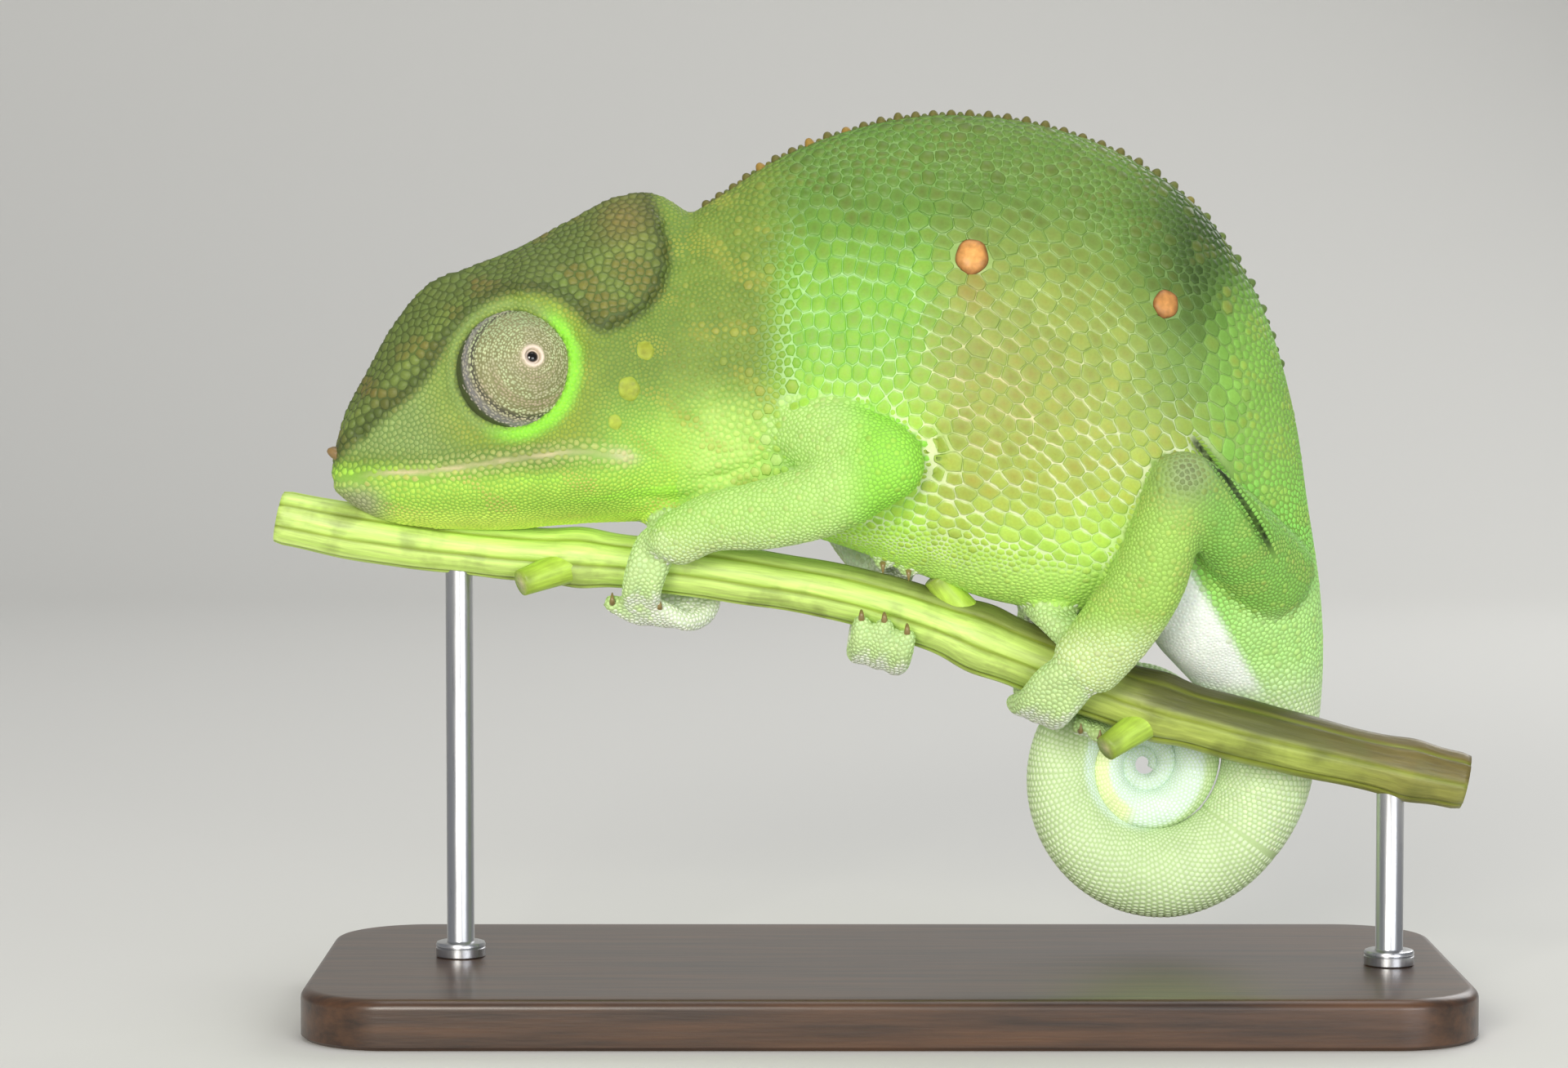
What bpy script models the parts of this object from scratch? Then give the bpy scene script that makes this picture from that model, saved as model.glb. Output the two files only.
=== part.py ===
"""A life-size two-horned chameleon, a hornless female asleep on a twig, on a plain display stand.

The animal faces -X and its left side faces -Y. All named sizes are in millimetres and the objects
are made in metres. The origin is the middle of the stand's underside.
"""

import math

import bmesh
import bpy
import numpy as np
from mathutils import Matrix, Vector

for old in list(bpy.data.objects):
    bpy.data.objects.remove(old)

MM = 0.001
GAP = 0.3  # clearance between neighbouring pieces

# Trunk stations from the neck to the root of the tail. Each row is one cross-section:
# back x, back z, belly x, belly z, half width, sideways offset, egg shape (0 round, more is fuller below)
TRUNK = (
    (-19.8, 81.2, -24.5, 49.8, 8.5, 0.0, 0.22),
    (-16.8, 83.0, -20.3, 50.3, 8.8, 0.0, 0.24),
    (-11.2, 86.6, -12.9, 49.6, 9.8, 0.0, 0.26),
    (-2.9, 89.8, -5.4, 47.6, 11.2, 0.0, 0.28),
    (6.2, 91.1, 2.9, 44.6, 12.4, 0.0, 0.28),
    (16.2, 89.9, 10.4, 41.9, 13.0, 0.0, 0.28),
    (25.3, 86.3, 17.0, 40.8, 12.8, 0.0, 0.28),
    (32.8, 80.3, 22.8, 40.5, 11.6, 0.0, 0.26),
    (38.2, 71.4, 25.6, 39.5, 9.8, 0.0, 0.22),
    (41.3, 61.4, 26.8, 38.2, 8.0, 0.0, 0.16),
    (42.9, 51.5, 28.0, 36.6, 6.6, 0.1, 0.1),
    (44.2, 44.0, 29.6, 34.9, 5.7, 1.2, 0.05),
    (45.0, 37.5, 32.3, 31.9, 5.1, 3.8, 0.0),
)

# The coiled tail is a spiral that shrinks by the same ratio each turn, so its turns just clear each other
COIL_CENTRE = (26.8, 24.4)
COIL_RADIUS = 12.93
COIL_RATIO = 0.4256
COIL_STRETCH = 1.08  # the coil is a little taller than wide
COIL_START, COIL_END, COIL_STEP = -8.0, 1112.0, 16.0  # degrees, clockwise from the right
COIL_OFFSET = 7.0  # the coil hangs beyond the twig
TAIL_FLATNESS = 0.45  # half width over height
TAIL_TIP = 0.25

# Head stations from the snout to the neck: top x, top z, chin x, chin z, half width at the lips,
# at the cheek and at the brow crest, share of the height at the mouth and at the brow crest
HEAD = (
    (-56.3, 56.3, -56.2, 53.2, 1.3, 1.3, 1.0, 0.35, 0.6),
    (-55.2, 60.6, -55.2, 52.1, 2.4, 2.3, 1.9, 0.25, 0.63),
    (-53.0, 64.9, -53.0, 50.7, 3.7, 3.5, 2.9, 0.28, 0.69),
    (-50.0, 70.2, -50.0, 49.6, 5.0, 4.7, 3.8, 0.26, 0.7),
    (-46.5, 74.2, -46.6, 49.1, 6.3, 5.7, 4.6, 0.25, 0.73),
    (-42.0, 76.0, -42.6, 48.9, 7.5, 6.8, 5.6, 0.26, 0.81),
    (-37.0, 78.0, -38.2, 48.9, 8.5, 7.6, 6.0, 0.265, 0.83),
    (-32.0, 80.7, -33.8, 49.3, 9.3, 8.5, 5.6, 0.25, 0.78),
    (-27.0, 83.1, -29.6, 49.6, 9.6, 9.0, 4.9, 0.225, 0.82),
    (-23.2, 83.2, -26.8, 49.7, 9.2, 8.9, 4.6, 0.22, 0.83),
    (-19.8, 81.2, -24.5, 49.8, 8.0, 8.5, 4.8, 0.22, 0.8),
)
LIP_HEIGHT, LIP_OUT = 0.9, 0.3
CASQUE_PLATE = (-29.2, 75.4, 8.2, 7.2, 0.8)  # x, z, half length, half height, step
MOUTH = (
    (-60.0, 53.4), (-56.3, 53.9), (-52.3, 54.8), (-45.4, 55.4), (-40.3, 56.1),
    (-35.3, 56.9), (-30.3, 57.3), (-26.4, 56.7), (-26.0, 53.0), (-26.6, 44.0),
)
MOUTH_CUT = 0.3
NOSTRIL = (-53.2, 58.6, 0.55)  # x, z, radius
HORN = (-55.7, 56.7, 0.85, 0.6, 0.9)  # x, z, half spacing, root radius, length: mere buds

EYE = (-37.1, 65.2, 5.15)  # x, z, distance from the midline
EYE_RADIUS = 6.25
EYE_TILT = (0.33, 0.3)  # how far the gaze leans back and up
EYE_BACK = 2.0
LID_OPENING, LID_DEPTH = 1.15, 1.1
PUPIL_BALL = 0.82

# Twig stations: x, y, z, radius
TWIG = (
    (-62.0, 2.6, 50.2, 2.75),
    (-53.5, 2.5, 48.5, 2.8),
    (-40.3, 2.2, 46.7, 2.7),
    (-28.6, 1.2, 45.9, 2.75),
    (-15.4, 0.6, 44.4, 2.8),
    (-2.1, 0.0, 42.0, 2.9),
    (5.5, -0.4, 39.6, 3.05),
    (12.9, -0.9, 36.7, 3.35),
    (25.3, -2.0, 31.9, 3.2),
    (37.0, -2.6, 28.6, 3.15),
    (51.0, -3.2, 25.3, 2.9),
    (58.5, -3.5, 23.7, 2.8),
)
# Cut leaf stalks: x on the twig, lean along x, side (-1 is near) and rise, radius, length
STALKS = ((-31.2, -1.0, -0.55, -0.35, 1.35, 4.2), (9.4, -0.8, -0.15, 1.0, 1.3, 4.0),
          (27.6, -1.0, -0.6, -0.6, 1.3, 4.2))

BASE_LENGTH, BASE_DEPTH, BASE_HEIGHT = 116.0, 50.0, 5.0
BASE_CORNER, BASE_EDGE = 9.0, 0.8
ROD_RADIUS, COLLAR_RADIUS, COLLAR_HEIGHT = 1.4, 2.6, 1.6
ROD_PLACES = (-43.6, 51.0)

CREST_ROOT, CREST_STEP = 0.55, 2.35
CLAW_LENGTH, CLAW_ROOT = 1.2, 0.38


def material(name, colour, roughness, metallic=0.0):
    """A plain Principled finish with a linear colour."""
    made = bpy.data.materials.new(name)
    made.use_nodes = True
    shader = made.node_tree.nodes["Principled BSDF"]
    shader.inputs["Base Color"].default_value = (*colour, 1.0)
    shader.inputs["Roughness"].default_value = roughness
    shader.inputs["Metallic"].default_value = metallic
    return made


SKIN = material("green_skin", (0.24, 0.42, 0.06), 0.5)
PALE_SKIN = material("pale_skin", (0.5, 0.62, 0.32), 0.5)
LID_SKIN = material("eyelid_skin", (0.3, 0.28, 0.16), 0.55)
EYE_DARK = material("eye", (0.02, 0.015, 0.012), 0.1)
HORN_FINISH = material("horn", (0.5, 0.33, 0.2), 0.4)
BARK = material("green_bark", (0.25, 0.3, 0.06), 0.6)
WOOD = material("dark_stained_wood", (0.05, 0.03, 0.02), 0.4)
STEEL = material("brushed_steel", (0.55, 0.55, 0.56), 0.3, 1.0)

PARTS = bpy.data.collections.new("two_horned_chameleon")
CUTTERS = bpy.data.collections.new("cutters")
for collection in (PARTS, CUTTERS):
    bpy.context.scene.collection.children.link(collection)


def smooth_rows(rows, places):
    """Reads a table at places, row numbers in its first column, on a smooth cubic through its rows."""
    rows = np.asarray(rows, float)
    knots, values = rows[:, 0], rows[:, 1:]
    steps = np.diff(knots)
    slopes = np.diff(values, axis=0) / steps[:, None]
    inner = (steps[1:, None] * slopes[:-1] + steps[:-1, None] * slopes[1:]) / (steps[1:] + steps[:-1])[:, None]
    tangents = np.vstack([slopes[:1], inner, slopes[-1:]])
    places = np.clip(np.atleast_1d(np.asarray(places, float)), knots[0], knots[-1])
    i = np.clip(np.searchsorted(knots, places, side="right") - 1, 0, len(steps) - 1)
    u = ((places - knots[i]) / steps[i])[:, None]
    h = steps[i][:, None]
    return (
        (2 * u**3 - 3 * u**2 + 1) * values[i]
        + (u**3 - 2 * u**2 + u) * h * tangents[i]
        + (3 * u**2 - 2 * u**3) * values[i + 1]
        + (u**3 - u**2) * h * tangents[i + 1]
    )


def with_lengths(rows, lengths_from):
    """Puts the running length along the points lengths_from in front of each row."""
    points = np.asarray(lengths_from, float)
    run = np.concatenate([[0], np.cumsum(np.linalg.norm(np.diff(points, axis=0), axis=1))])
    return np.column_stack([run, np.asarray(rows, float)])


def lofted(name, rings, finish=None, collection=PARTS):
    """A closed object through rings, an array of rows, columns and xyz in mm, with fanned end caps."""
    rings = np.asarray(rings, float)
    rows, columns = rings.shape[:2]
    mesh = bmesh.new()
    grid = [[mesh.verts.new(p * MM) for p in ring] for ring in rings]
    for a, b in zip(grid, grid[1:]):
        for j in range(columns):
            k = (j + 1) % columns
            mesh.faces.new((a[j], a[k], b[k], b[j]))
    for ring, points in ((grid[0], rings[0]), (grid[-1], rings[-1])):
        hub = mesh.verts.new(points.mean(0) * MM)
        for j in range(columns):
            mesh.faces.new((ring[j], ring[(j + 1) % columns], hub))
    bmesh.ops.triangulate(mesh, faces=mesh.faces[:])
    bmesh.ops.recalc_face_normals(mesh, faces=mesh.faces[:])
    return from_bmesh(name, mesh, finish, collection)


def from_bmesh(name, mesh, finish=None, collection=PARTS):
    """Turns a bmesh into a smooth-shaded object and frees it."""
    data = bpy.data.meshes.new(name)
    mesh.to_mesh(data)
    mesh.free()
    made = bpy.data.objects.new(name, data)
    collection.objects.link(made)
    if finish:
        data.materials.append(finish)
    data.shade_smooth()
    data.set_sharp_from_angle(angle=math.radians(40))
    if collection is CUTTERS:
        made.hide_render = True
        made.display_type = "WIRE"
    return made


def grown(made, by=GAP):
    """A cutter that is a copy of an object with every point moved out by that many mm."""
    mesh = bmesh.new()
    mesh.from_mesh(made.data)
    mesh.normal_update()
    for vert, normal in [(v, v.normal.copy()) for v in mesh.verts]:
        vert.co += normal * by * MM
    return from_bmesh(made.name + "_grown", mesh, None, CUTTERS)


def keep_largest(made):
    """Drops every closed surface of an object but the one with the largest volume."""
    mesh = bmesh.new()
    mesh.from_mesh(made.data)
    bmesh.ops.triangulate(mesh, faces=mesh.faces[:])
    waiting, best, best_volume = set(mesh.faces), None, -1.0
    while waiting:
        shell, edge_faces = set(), [waiting.pop()]
        while edge_faces:
            face = edge_faces.pop()
            shell.add(face)
            for edge in face.edges:
                for other in edge.link_faces:
                    if other in waiting:
                        waiting.remove(other)
                        edge_faces.append(other)
        volume = 0.0
        for face in shell:
            a, b, c = (v.co for v in face.verts)
            volume += a.dot(b.cross(c)) / 6
        if volume > best_volume:
            best, best_volume = shell, volume
    loose = [f for f in mesh.faces if f not in best]
    bmesh.ops.delete(mesh, geom=loose, context="FACES")
    mesh.to_mesh(made.data)
    mesh.free()
    return made


def combine(made, others, operation, solver="MANIFOLD"):
    """Applies one Boolean with a collection of closed mesh objects, then removes them."""
    group = bpy.data.collections.new("operands")
    bpy.context.scene.collection.children.link(group)
    for other in others:
        group.objects.link(other)
    step = made.modifiers.new("combine", "BOOLEAN")
    step.operation = operation
    step.operand_type = "COLLECTION"
    step.collection = group
    step.solver = solver
    bpy.context.view_layer.update()
    result = bpy.data.meshes.new_from_object(made.evaluated_get(bpy.context.evaluated_depsgraph_get()))
    made.modifiers.clear()
    made.data = result
    for other in others:
        bpy.data.objects.remove(other)
    bpy.data.collections.remove(group)
    return keep_largest(made)


def clear_of(made, neighbours, by=GAP):
    """Cuts an object clear of its neighbours, so that the pieces meet face to face."""
    return combine(made, [grown(n, by) for n in neighbours], "DIFFERENCE")


def tube_rings(points, radii, columns, spacing, across=(0, 1, 0), round_start=False, round_end=False):
    """Rings round a smooth path. A row of radii is the half size along across and the one at right angles."""
    table = with_lengths(np.column_stack([points, radii]), points)
    length = table[-1, 0]
    count = max(3, int(round(length / spacing)) + 1)
    places = np.linspace(0, length, count)
    read = smooth_rows(table, places)
    centres, sizes = read[:, :3], read[:, 3:5]
    tangents = np.gradient(centres, places, axis=0)
    tangents /= np.linalg.norm(tangents, axis=1)[:, None]
    side = np.asarray(across, float) - (tangents @ np.asarray(across, float))[:, None] * tangents
    side /= np.linalg.norm(side, axis=1)[:, None]
    other = np.cross(tangents, side)
    angles = np.linspace(0, 2 * math.pi, columns, endpoint=False)

    def ring(i, shrink=1.0, ahead=0.0):
        middle = centres[i] + tangents[i] * ahead
        return (middle + np.outer(np.cos(angles), side[i]) * sizes[i, 0] * shrink
                + np.outer(np.sin(angles), other[i]) * sizes[i, 1] * shrink)

    turns = [math.radians(a) for a in (72, 40)]
    rings = [ring(i) for i in range(count)]
    if round_start:
        rings = [ring(0, math.cos(a), -sizes[0].mean() * math.sin(a)) for a in turns] + rings
    if round_end:
        rings += [ring(count - 1, math.cos(a), sizes[-1].mean() * math.sin(a)) for a in reversed(turns)]
    return np.array(rings)


def coil_row(degrees):
    """One cross-section of the coiled tail: outer and inner point of a shrinking spiral, and its width."""
    turns = degrees / 360
    middle = COIL_RADIUS * COIL_RATIO**turns
    height = middle * 2 * (1 - COIL_RATIO) / (1 + COIL_RATIO) - GAP * 1.5
    if degrees > COIL_END - 90:
        height *= 1 - 0.6 * (degrees - COIL_END + 90) / 90
    height = max(height, TAIL_TIP)
    way = np.array([math.cos(math.radians(degrees)), -COIL_STRETCH * math.sin(math.radians(degrees))])
    back = np.array(COIL_CENTRE) + way * (middle + height / 2)
    belly = np.array(COIL_CENTRE) + way * (middle - height / 2)
    return (*back, *belly, height * TAIL_FLATNESS, COIL_OFFSET, 0.0)


COIL_ANGLES = np.arange(COIL_START, COIL_END + 0.1, COIL_STEP)
BODY = np.array([*TRUNK, *(coil_row(a) for a in COIL_ANGLES)])
BODY = with_lengths(BODY, (BODY[:, 0:2] + BODY[:, 2:4]) / 2)
TAIL_START = len(TRUNK)


def body_place(row):
    """The running length at a station, where a fraction lies between two rows."""
    return float(np.interp(row, range(len(BODY)), BODY[:, 0]))


def coil_place(degrees):
    """The running length at an angle of the coil."""
    return body_place(TAIL_START + (degrees - COIL_START) / COIL_STEP)


def egg_width(down, egg):
    """Half width, as a share, where down is the cosine of the angle round the section, 1 at the back."""
    sine = np.sqrt(np.clip(1 - down**2, 0, None))
    return sine * (1 - egg * down) / (1 + 0.35 * egg**2)


def body_rings(start, end, columns, spacing):
    """Rings of the trunk and tail between two running lengths, each end drawn back by half a gap."""
    count = max(3, int(round((end - start) / spacing)) + 1)
    read = smooth_rows(BODY, np.linspace(start, end, count))
    angles = np.linspace(0, 2 * math.pi, columns, endpoint=False)
    rings = []
    for row in read:
        back, belly = row[0:2], row[2:4]
        middle, half = (back + belly) / 2, (back - belly) / 2
        across = np.sign(np.sin(angles)) * egg_width(np.cos(angles), row[6]) * row[4] + row[5]
        flat = middle + np.outer(np.cos(angles), half)
        rings.append(np.column_stack([flat[:, 0], across, flat[:, 1]]))
    rings = np.array(rings)
    for end_ring, row, way in ((rings[0], read[0], 1), (rings[-1], read[-1], -1)):
        rise = row[0:2] - row[2:4]
        ahead = np.array([rise[1], 0, -rise[0]]) / np.linalg.norm(rise)
        end_ring += ahead * way * GAP / 2
    return rings


def crest(made, start, end, height, step=CREST_STEP):
    """Fuses a row of small cones onto the ridge of the back between two running lengths."""
    mesh = bmesh.new()
    for place in np.arange(start + step / 2, end - step / 3, step):
        row, ahead = smooth_rows(BODY, [place, place + 0.1])
        rise = Vector((row[0] - row[2], 0, row[1] - row[3])).normalized()
        tangent = Vector((ahead[0] - row[0], 0, ahead[1] - row[1])).normalized()
        outward = Vector((-tangent.z, 0, tangent.x))
        outward = outward if outward.dot(rise) > 0 else -outward
        tall = height * (1.0 if int(place / step) % 2 else 0.8)
        root = min(CREST_ROOT, 0.75 * height)
        sunk = 0.45
        middle = Vector((row[0], row[5], row[1])) + outward * (tall - sunk) / 2
        turn = outward.to_track_quat("Z", "Y").to_matrix().to_4x4()
        bmesh.ops.create_cone(
            mesh, cap_ends=True, segments=5, radius1=root * 1.5 * MM, radius2=root * 0.25 * MM,
            depth=(tall + sunk) * MM, matrix=Matrix.Translation(middle * MM) @ turn,
        )
    bmesh.ops.triangulate(mesh, faces=mesh.faces[:])
    return combine(made, [from_bmesh("crest_row", mesh, None, CUTTERS)], "UNION")


def make_trunk_and_tail():
    """Neck, trunk, rump and tail lengths, parted where a person would name them."""
    cuts = (
        ("neck", body_place(0), body_place(2.0), 26, 3.2, 0.7),
        ("torso_front", body_place(2.0), body_place(5.3), 28, 3.6, 0.9),
        ("torso_rear", body_place(5.3), body_place(8.4), 28, 3.6, 0.8),
        ("rump", body_place(8.4), body_place(12.0), 24, 3.2, 0.0),
        ("tail_1_root", body_place(12.0), coil_place(55), 18, 3.2, 0.0),
        ("tail_2", coil_place(55), coil_place(145), 16, 3.0, 0.0),
        ("tail_3", coil_place(145), coil_place(240), 14, 2.6, 0.0),
        ("tail_4", coil_place(240), coil_place(370), 12, 2.2, 0.0),
        ("tail_5", coil_place(370), coil_place(550), 12, 1.5, 0.0),
        ("tail_6_tip", coil_place(550), coil_place(COIL_END), 10, 0.9, 0.0),
    )
    made = {}
    for name, start, end, columns, spacing, height in cuts:
        finish = PALE_SKIN if name.startswith("tail") else SKIN
        made[name] = lofted(name, body_rings(start, end, columns, spacing), finish)
        if height:
            crest(made[name], start, end, height)
    return made


def head_rings():
    """Rings of the head: each half section runs from chin over lips, cheek and brow crest to the top."""
    middle = [((r[0] + r[2]) / 2, (r[1] + r[3]) / 2) for r in HEAD]
    table = with_lengths(HEAD, middle)
    length = table[-1, 0]
    shares = np.linspace(0, 1, 19) ** 1.15  # closer rings at the snout
    read = smooth_rows(table, shares * length)
    neck = BODY[0]
    rings = []
    for share, row in zip(shares, read):
        top, chin, lips, cheek, brow, at_mouth, at_brow = row[0:2], row[2:4], *row[4:9]
        height = np.linalg.norm(top - chin)
        lip = min(LIP_HEIGHT / height, at_mouth * 0.3)
        half = np.array([
            (0, 0, 0), (1, 0.05, 0.58 * lips), (2, 0.55 * at_mouth, 0.93 * lips),
            (3, at_mouth - lip, lips), (4, at_mouth, lips + LIP_OUT * min(1, lips / 4)),
            (5, at_mouth + lip, lips), (6, (at_mouth + at_brow) / 2, cheek), (7, at_brow, brow),
            (8, (1 + at_brow) / 2, 0.62 * brow), (9, 1, 0),
        ])
        profile = smooth_rows(half, (0, 0.6, 1.3, 2.2, 3, 4, 5, 5.6, 6.3, 7, 7.6, 8.3, 9))
        up, out = profile[:, 0], np.clip(profile[:, 1], 0, None)
        blend = np.clip((share - 0.78) / 0.22, 0, 1) ** 1.5
        out = out * (1 - blend) + blend * neck[5] * egg_width(2 * np.clip(up, 0, 1) - 1, neck[7])
        flat = chin + np.outer(up, top - chin)
        x, z, long, tall, step = CASQUE_PLATE
        away = np.hypot((flat[:, 0] - x) / long, (flat[:, 1] - z) / tall)
        out = out + step * np.clip((1.08 - away) / 0.16, 0, 1) * np.clip(out / 2, 0, 1) * (1 - blend)
        left = np.column_stack([flat[:, 0], -out, flat[:, 1]])
        right = np.column_stack([flat[:, 0], out, flat[:, 1]])[-2:0:-1]
        rings.append(np.vstack([left, right]))
    rings = np.array(rings)
    rise = read[-1, 0:2] - read[-1, 2:4]
    rings[-1] -= np.array([rise[1], 0, -rise[0]]) / np.linalg.norm(rise) * GAP / 2
    return rings


def gaze(side):
    """The way an eye looks: outward on its side, leaning a little back and up."""
    return Vector((EYE_TILT[0], side, EYE_TILT[1])).normalized()


def turned(name, profile, centre, axis, segments, finish=None, collection=PARTS):
    """A closed turned body: rows of distance along the axis and radius, with fanned ends."""
    turn = np.array(axis.to_track_quat("Z", "Y").to_matrix())
    angles = np.linspace(0, 2 * math.pi, segments, endpoint=False)
    rings = []
    for along, radius in profile:
        flat = np.column_stack([radius * np.cos(angles), radius * np.sin(angles), np.full(segments, along)])
        rings.append(flat @ turn.T + np.asarray(centre))
    return lofted(name, rings, finish, collection)


def turret_profile(more=0.0):
    """The eye turret from its flat back, over the dome, to the rim of the lids and down the opening."""
    radius = EYE_RADIUS + more
    dome = [
        (radius * math.sin(math.radians(a)), radius * math.cos(math.radians(a)))
        for a in (-8, 12, 30, 46, 59, 69)
    ]
    return [(-EYE_BACK - more, 5.3 + more), *dome]


def make_head():
    """Head, lower jaw, eye turrets, eyes and the two horn buds."""
    made = {"head": lofted("head", head_rings(), SKIN)}
    head = made["head"]
    line = np.array(MOUTH)
    ways = np.gradient(line, axis=0)
    ways /= np.linalg.norm(ways, axis=1)[:, None]
    across = np.column_stack([-ways[:, 1], ways[:, 0]]) * MOUTH_CUT / 2
    reach = 16.0
    slit = [
        [(p[0] - a[0], -reach, p[1] - a[1]), (p[0] + a[0], -reach, p[1] + a[1]),
         (p[0] + a[0], reach, p[1] + a[1]), (p[0] - a[0], reach, p[1] - a[1])]
        for p, a in zip(line, across)
    ]
    # The jaw is what the head shares with a block under the mouth slit, less the slit itself
    block = [
        [(p[0], -reach, p[1] - 0.01), (p[0], reach, p[1] - 0.01), (p[0], reach, 40.0), (p[0], -reach, 40.0)]
        for p in line[:-2]
    ]
    block.append([(line[-2][0], y, z) for y, z in ((-reach, 56.0), (reach, 56.0), (reach, 40.0), (-reach, 40.0))])
    jaw = head.copy()
    jaw.data = head.data.copy()
    jaw.name = "lower_jaw"
    PARTS.objects.link(jaw)
    combine(jaw, [lofted("jaw_block", block, None, CUTTERS)], "INTERSECT")
    combine(jaw, [lofted("mouth_slit", slit, None, CUTTERS)], "DIFFERENCE")
    combine(head, [grown(jaw, MOUTH_CUT)], "DIFFERENCE")
    made["lower_jaw"] = jaw
    for side, name in ((-1, "left"), (1, "right")):
        axis = gaze(side)
        centre = Vector((EYE[0], side * EYE[2], EYE[1]))
        socket = turned("socket", [(-EYE_BACK - GAP, 5.3 + GAP), *turret_profile(GAP)[1:], (EYE_RADIUS + 2, 1.0)],
                        centre, axis, 18, None, CUTTERS)
        combine(head, [socket], "DIFFERENCE")
        apex = EYE_RADIUS * 0.985
        cone = [(apex, LID_OPENING + 0.55), (apex + 0.12, LID_OPENING + 0.15), (apex - 0.1, LID_OPENING),
                (apex - LID_DEPTH, LID_OPENING - 0.1)]
        turret = turned(f"eye_turret_{name}", [*turret_profile(), *cone], centre, axis, 18, LID_SKIN)
        made[turret.name] = turret
        ball = bmesh.new()
        bmesh.ops.create_uvsphere(ball, u_segments=10, v_segments=6, radius=PUPIL_BALL * MM)
        middle = centre + axis * (apex - LID_DEPTH + GAP + PUPIL_BALL)
        bmesh.ops.transform(ball, verts=ball.verts, matrix=Matrix.Translation(middle * MM)
                            @ axis.to_track_quat("Z", "Y").to_matrix().to_4x4())
        made[f"eye_{name}"] = from_bmesh(f"eye_{name}", ball, EYE_DARK)
        x, z, radius = NOSTRIL
        pit = bmesh.new()
        bmesh.ops.create_uvsphere(pit, u_segments=8, v_segments=5, radius=radius * MM)
        bmesh.ops.transform(pit, verts=pit.verts, matrix=Matrix.Translation(Vector((x, side * 3.35, z)) * MM))
        combine(head, [from_bmesh("nostril", pit, None, CUTTERS)], "DIFFERENCE")
    x, z, half, root, length = HORN
    for side, name in ((-1, "left"), (1, "right")):
        bud = tube_rings([(x + 1.6, side * half, z - 0.5), (x, side * half, z), (x - length, side * half, z + 0.55)],
                         [(root, root), (root, root), (root * 0.45, root * 0.45)], 8, 0.8, round_end=True)
        horn = lofted(f"horn_bud_{name}", bud, HORN_FINISH)
        made[horn.name] = clear_of(horn, [head, jaw])
    return made


def twig_at(x):
    """Centre and radius of the twig at an x."""
    row = smooth_rows(TWIG, [x])[0]
    return np.array([x, row[0], row[1]]), row[2]


def make_stand():
    """Cut twig with its leaf-stalk stubs, the base, and the two rods that carry the twig."""
    xs = np.linspace(TWIG[0][0], TWIG[-1][0], 30)
    rows = smooth_rows(TWIG, xs)
    rings = tube_rings(np.column_stack([xs, rows[:, :2]]), np.column_stack([rows[:, 2]] * 2), 12, 4.2)
    twig = lofted("perch_twig", rings, BARK)
    stubs = []
    for x, lean, side, rise, radius, length in STALKS:
        centre, thick = twig_at(x)
        way = np.array([lean, side, rise]) / np.linalg.norm([lean, side, rise])
        out = np.array([0, side, rise]) / np.linalg.norm([0, side, rise])
        start = centre + out * thick * 0.2
        points = [start, start + way * (thick + 0.3), start + way * (thick + length)]
        sizes = [(radius * 1.5,) * 2, (radius * 1.25,) * 2, (radius,) * 2]
        stubs.append(lofted("stalk", tube_rings(points, sizes, 8, 2.0, across=(1, 0.2, 0.1)), None, CUTTERS))
    combine(twig, stubs, "UNION")

    half_long, half_deep = BASE_LENGTH / 2, BASE_DEPTH / 2
    corners = []
    for cx, cy, first in ((1, 1, 0), (-1, 1, 90), (-1, -1, 180), (1, -1, 270)):
        for turn in np.linspace(0, 90, 6):
            a = math.radians(first + turn)
            corners.append((cx * (half_long - BASE_CORNER) + BASE_CORNER * math.cos(a),
                            cy * (half_deep - BASE_CORNER) + BASE_CORNER * math.sin(a)))
    corners = np.array(corners)
    shrink = (corners / np.array([half_long, half_deep])) * BASE_EDGE
    levels = ((0.0, 0.35), (0.3, 0.0), (BASE_HEIGHT - BASE_EDGE, 0.0), (BASE_HEIGHT - 0.25, 0.35), (BASE_HEIGHT, 1.0))
    rings = [np.column_stack([corners - shrink * inset, np.full(len(corners), z)]) for z, inset in levels]
    made = {"perch_twig": twig, "stand_base": lofted("stand_base", rings, WOOD)}
    for i, x in enumerate(ROD_PLACES):
        centre, _ = twig_at(x)
        foot = BASE_HEIGHT + GAP
        profile = [(foot, COLLAR_RADIUS), (foot + COLLAR_HEIGHT - 0.4, COLLAR_RADIUS),
                   (foot + COLLAR_HEIGHT, COLLAR_RADIUS - 0.4), (foot + COLLAR_HEIGHT, ROD_RADIUS),
                   (centre[2], ROD_RADIUS)]
        rod = turned(f"stand_rod_{i + 1}", profile, (x, centre[1], 0), Vector((0, 0, 1)), 14, STEEL)
        made[rod.name] = clear_of(rod, [twig])
    return made


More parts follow.
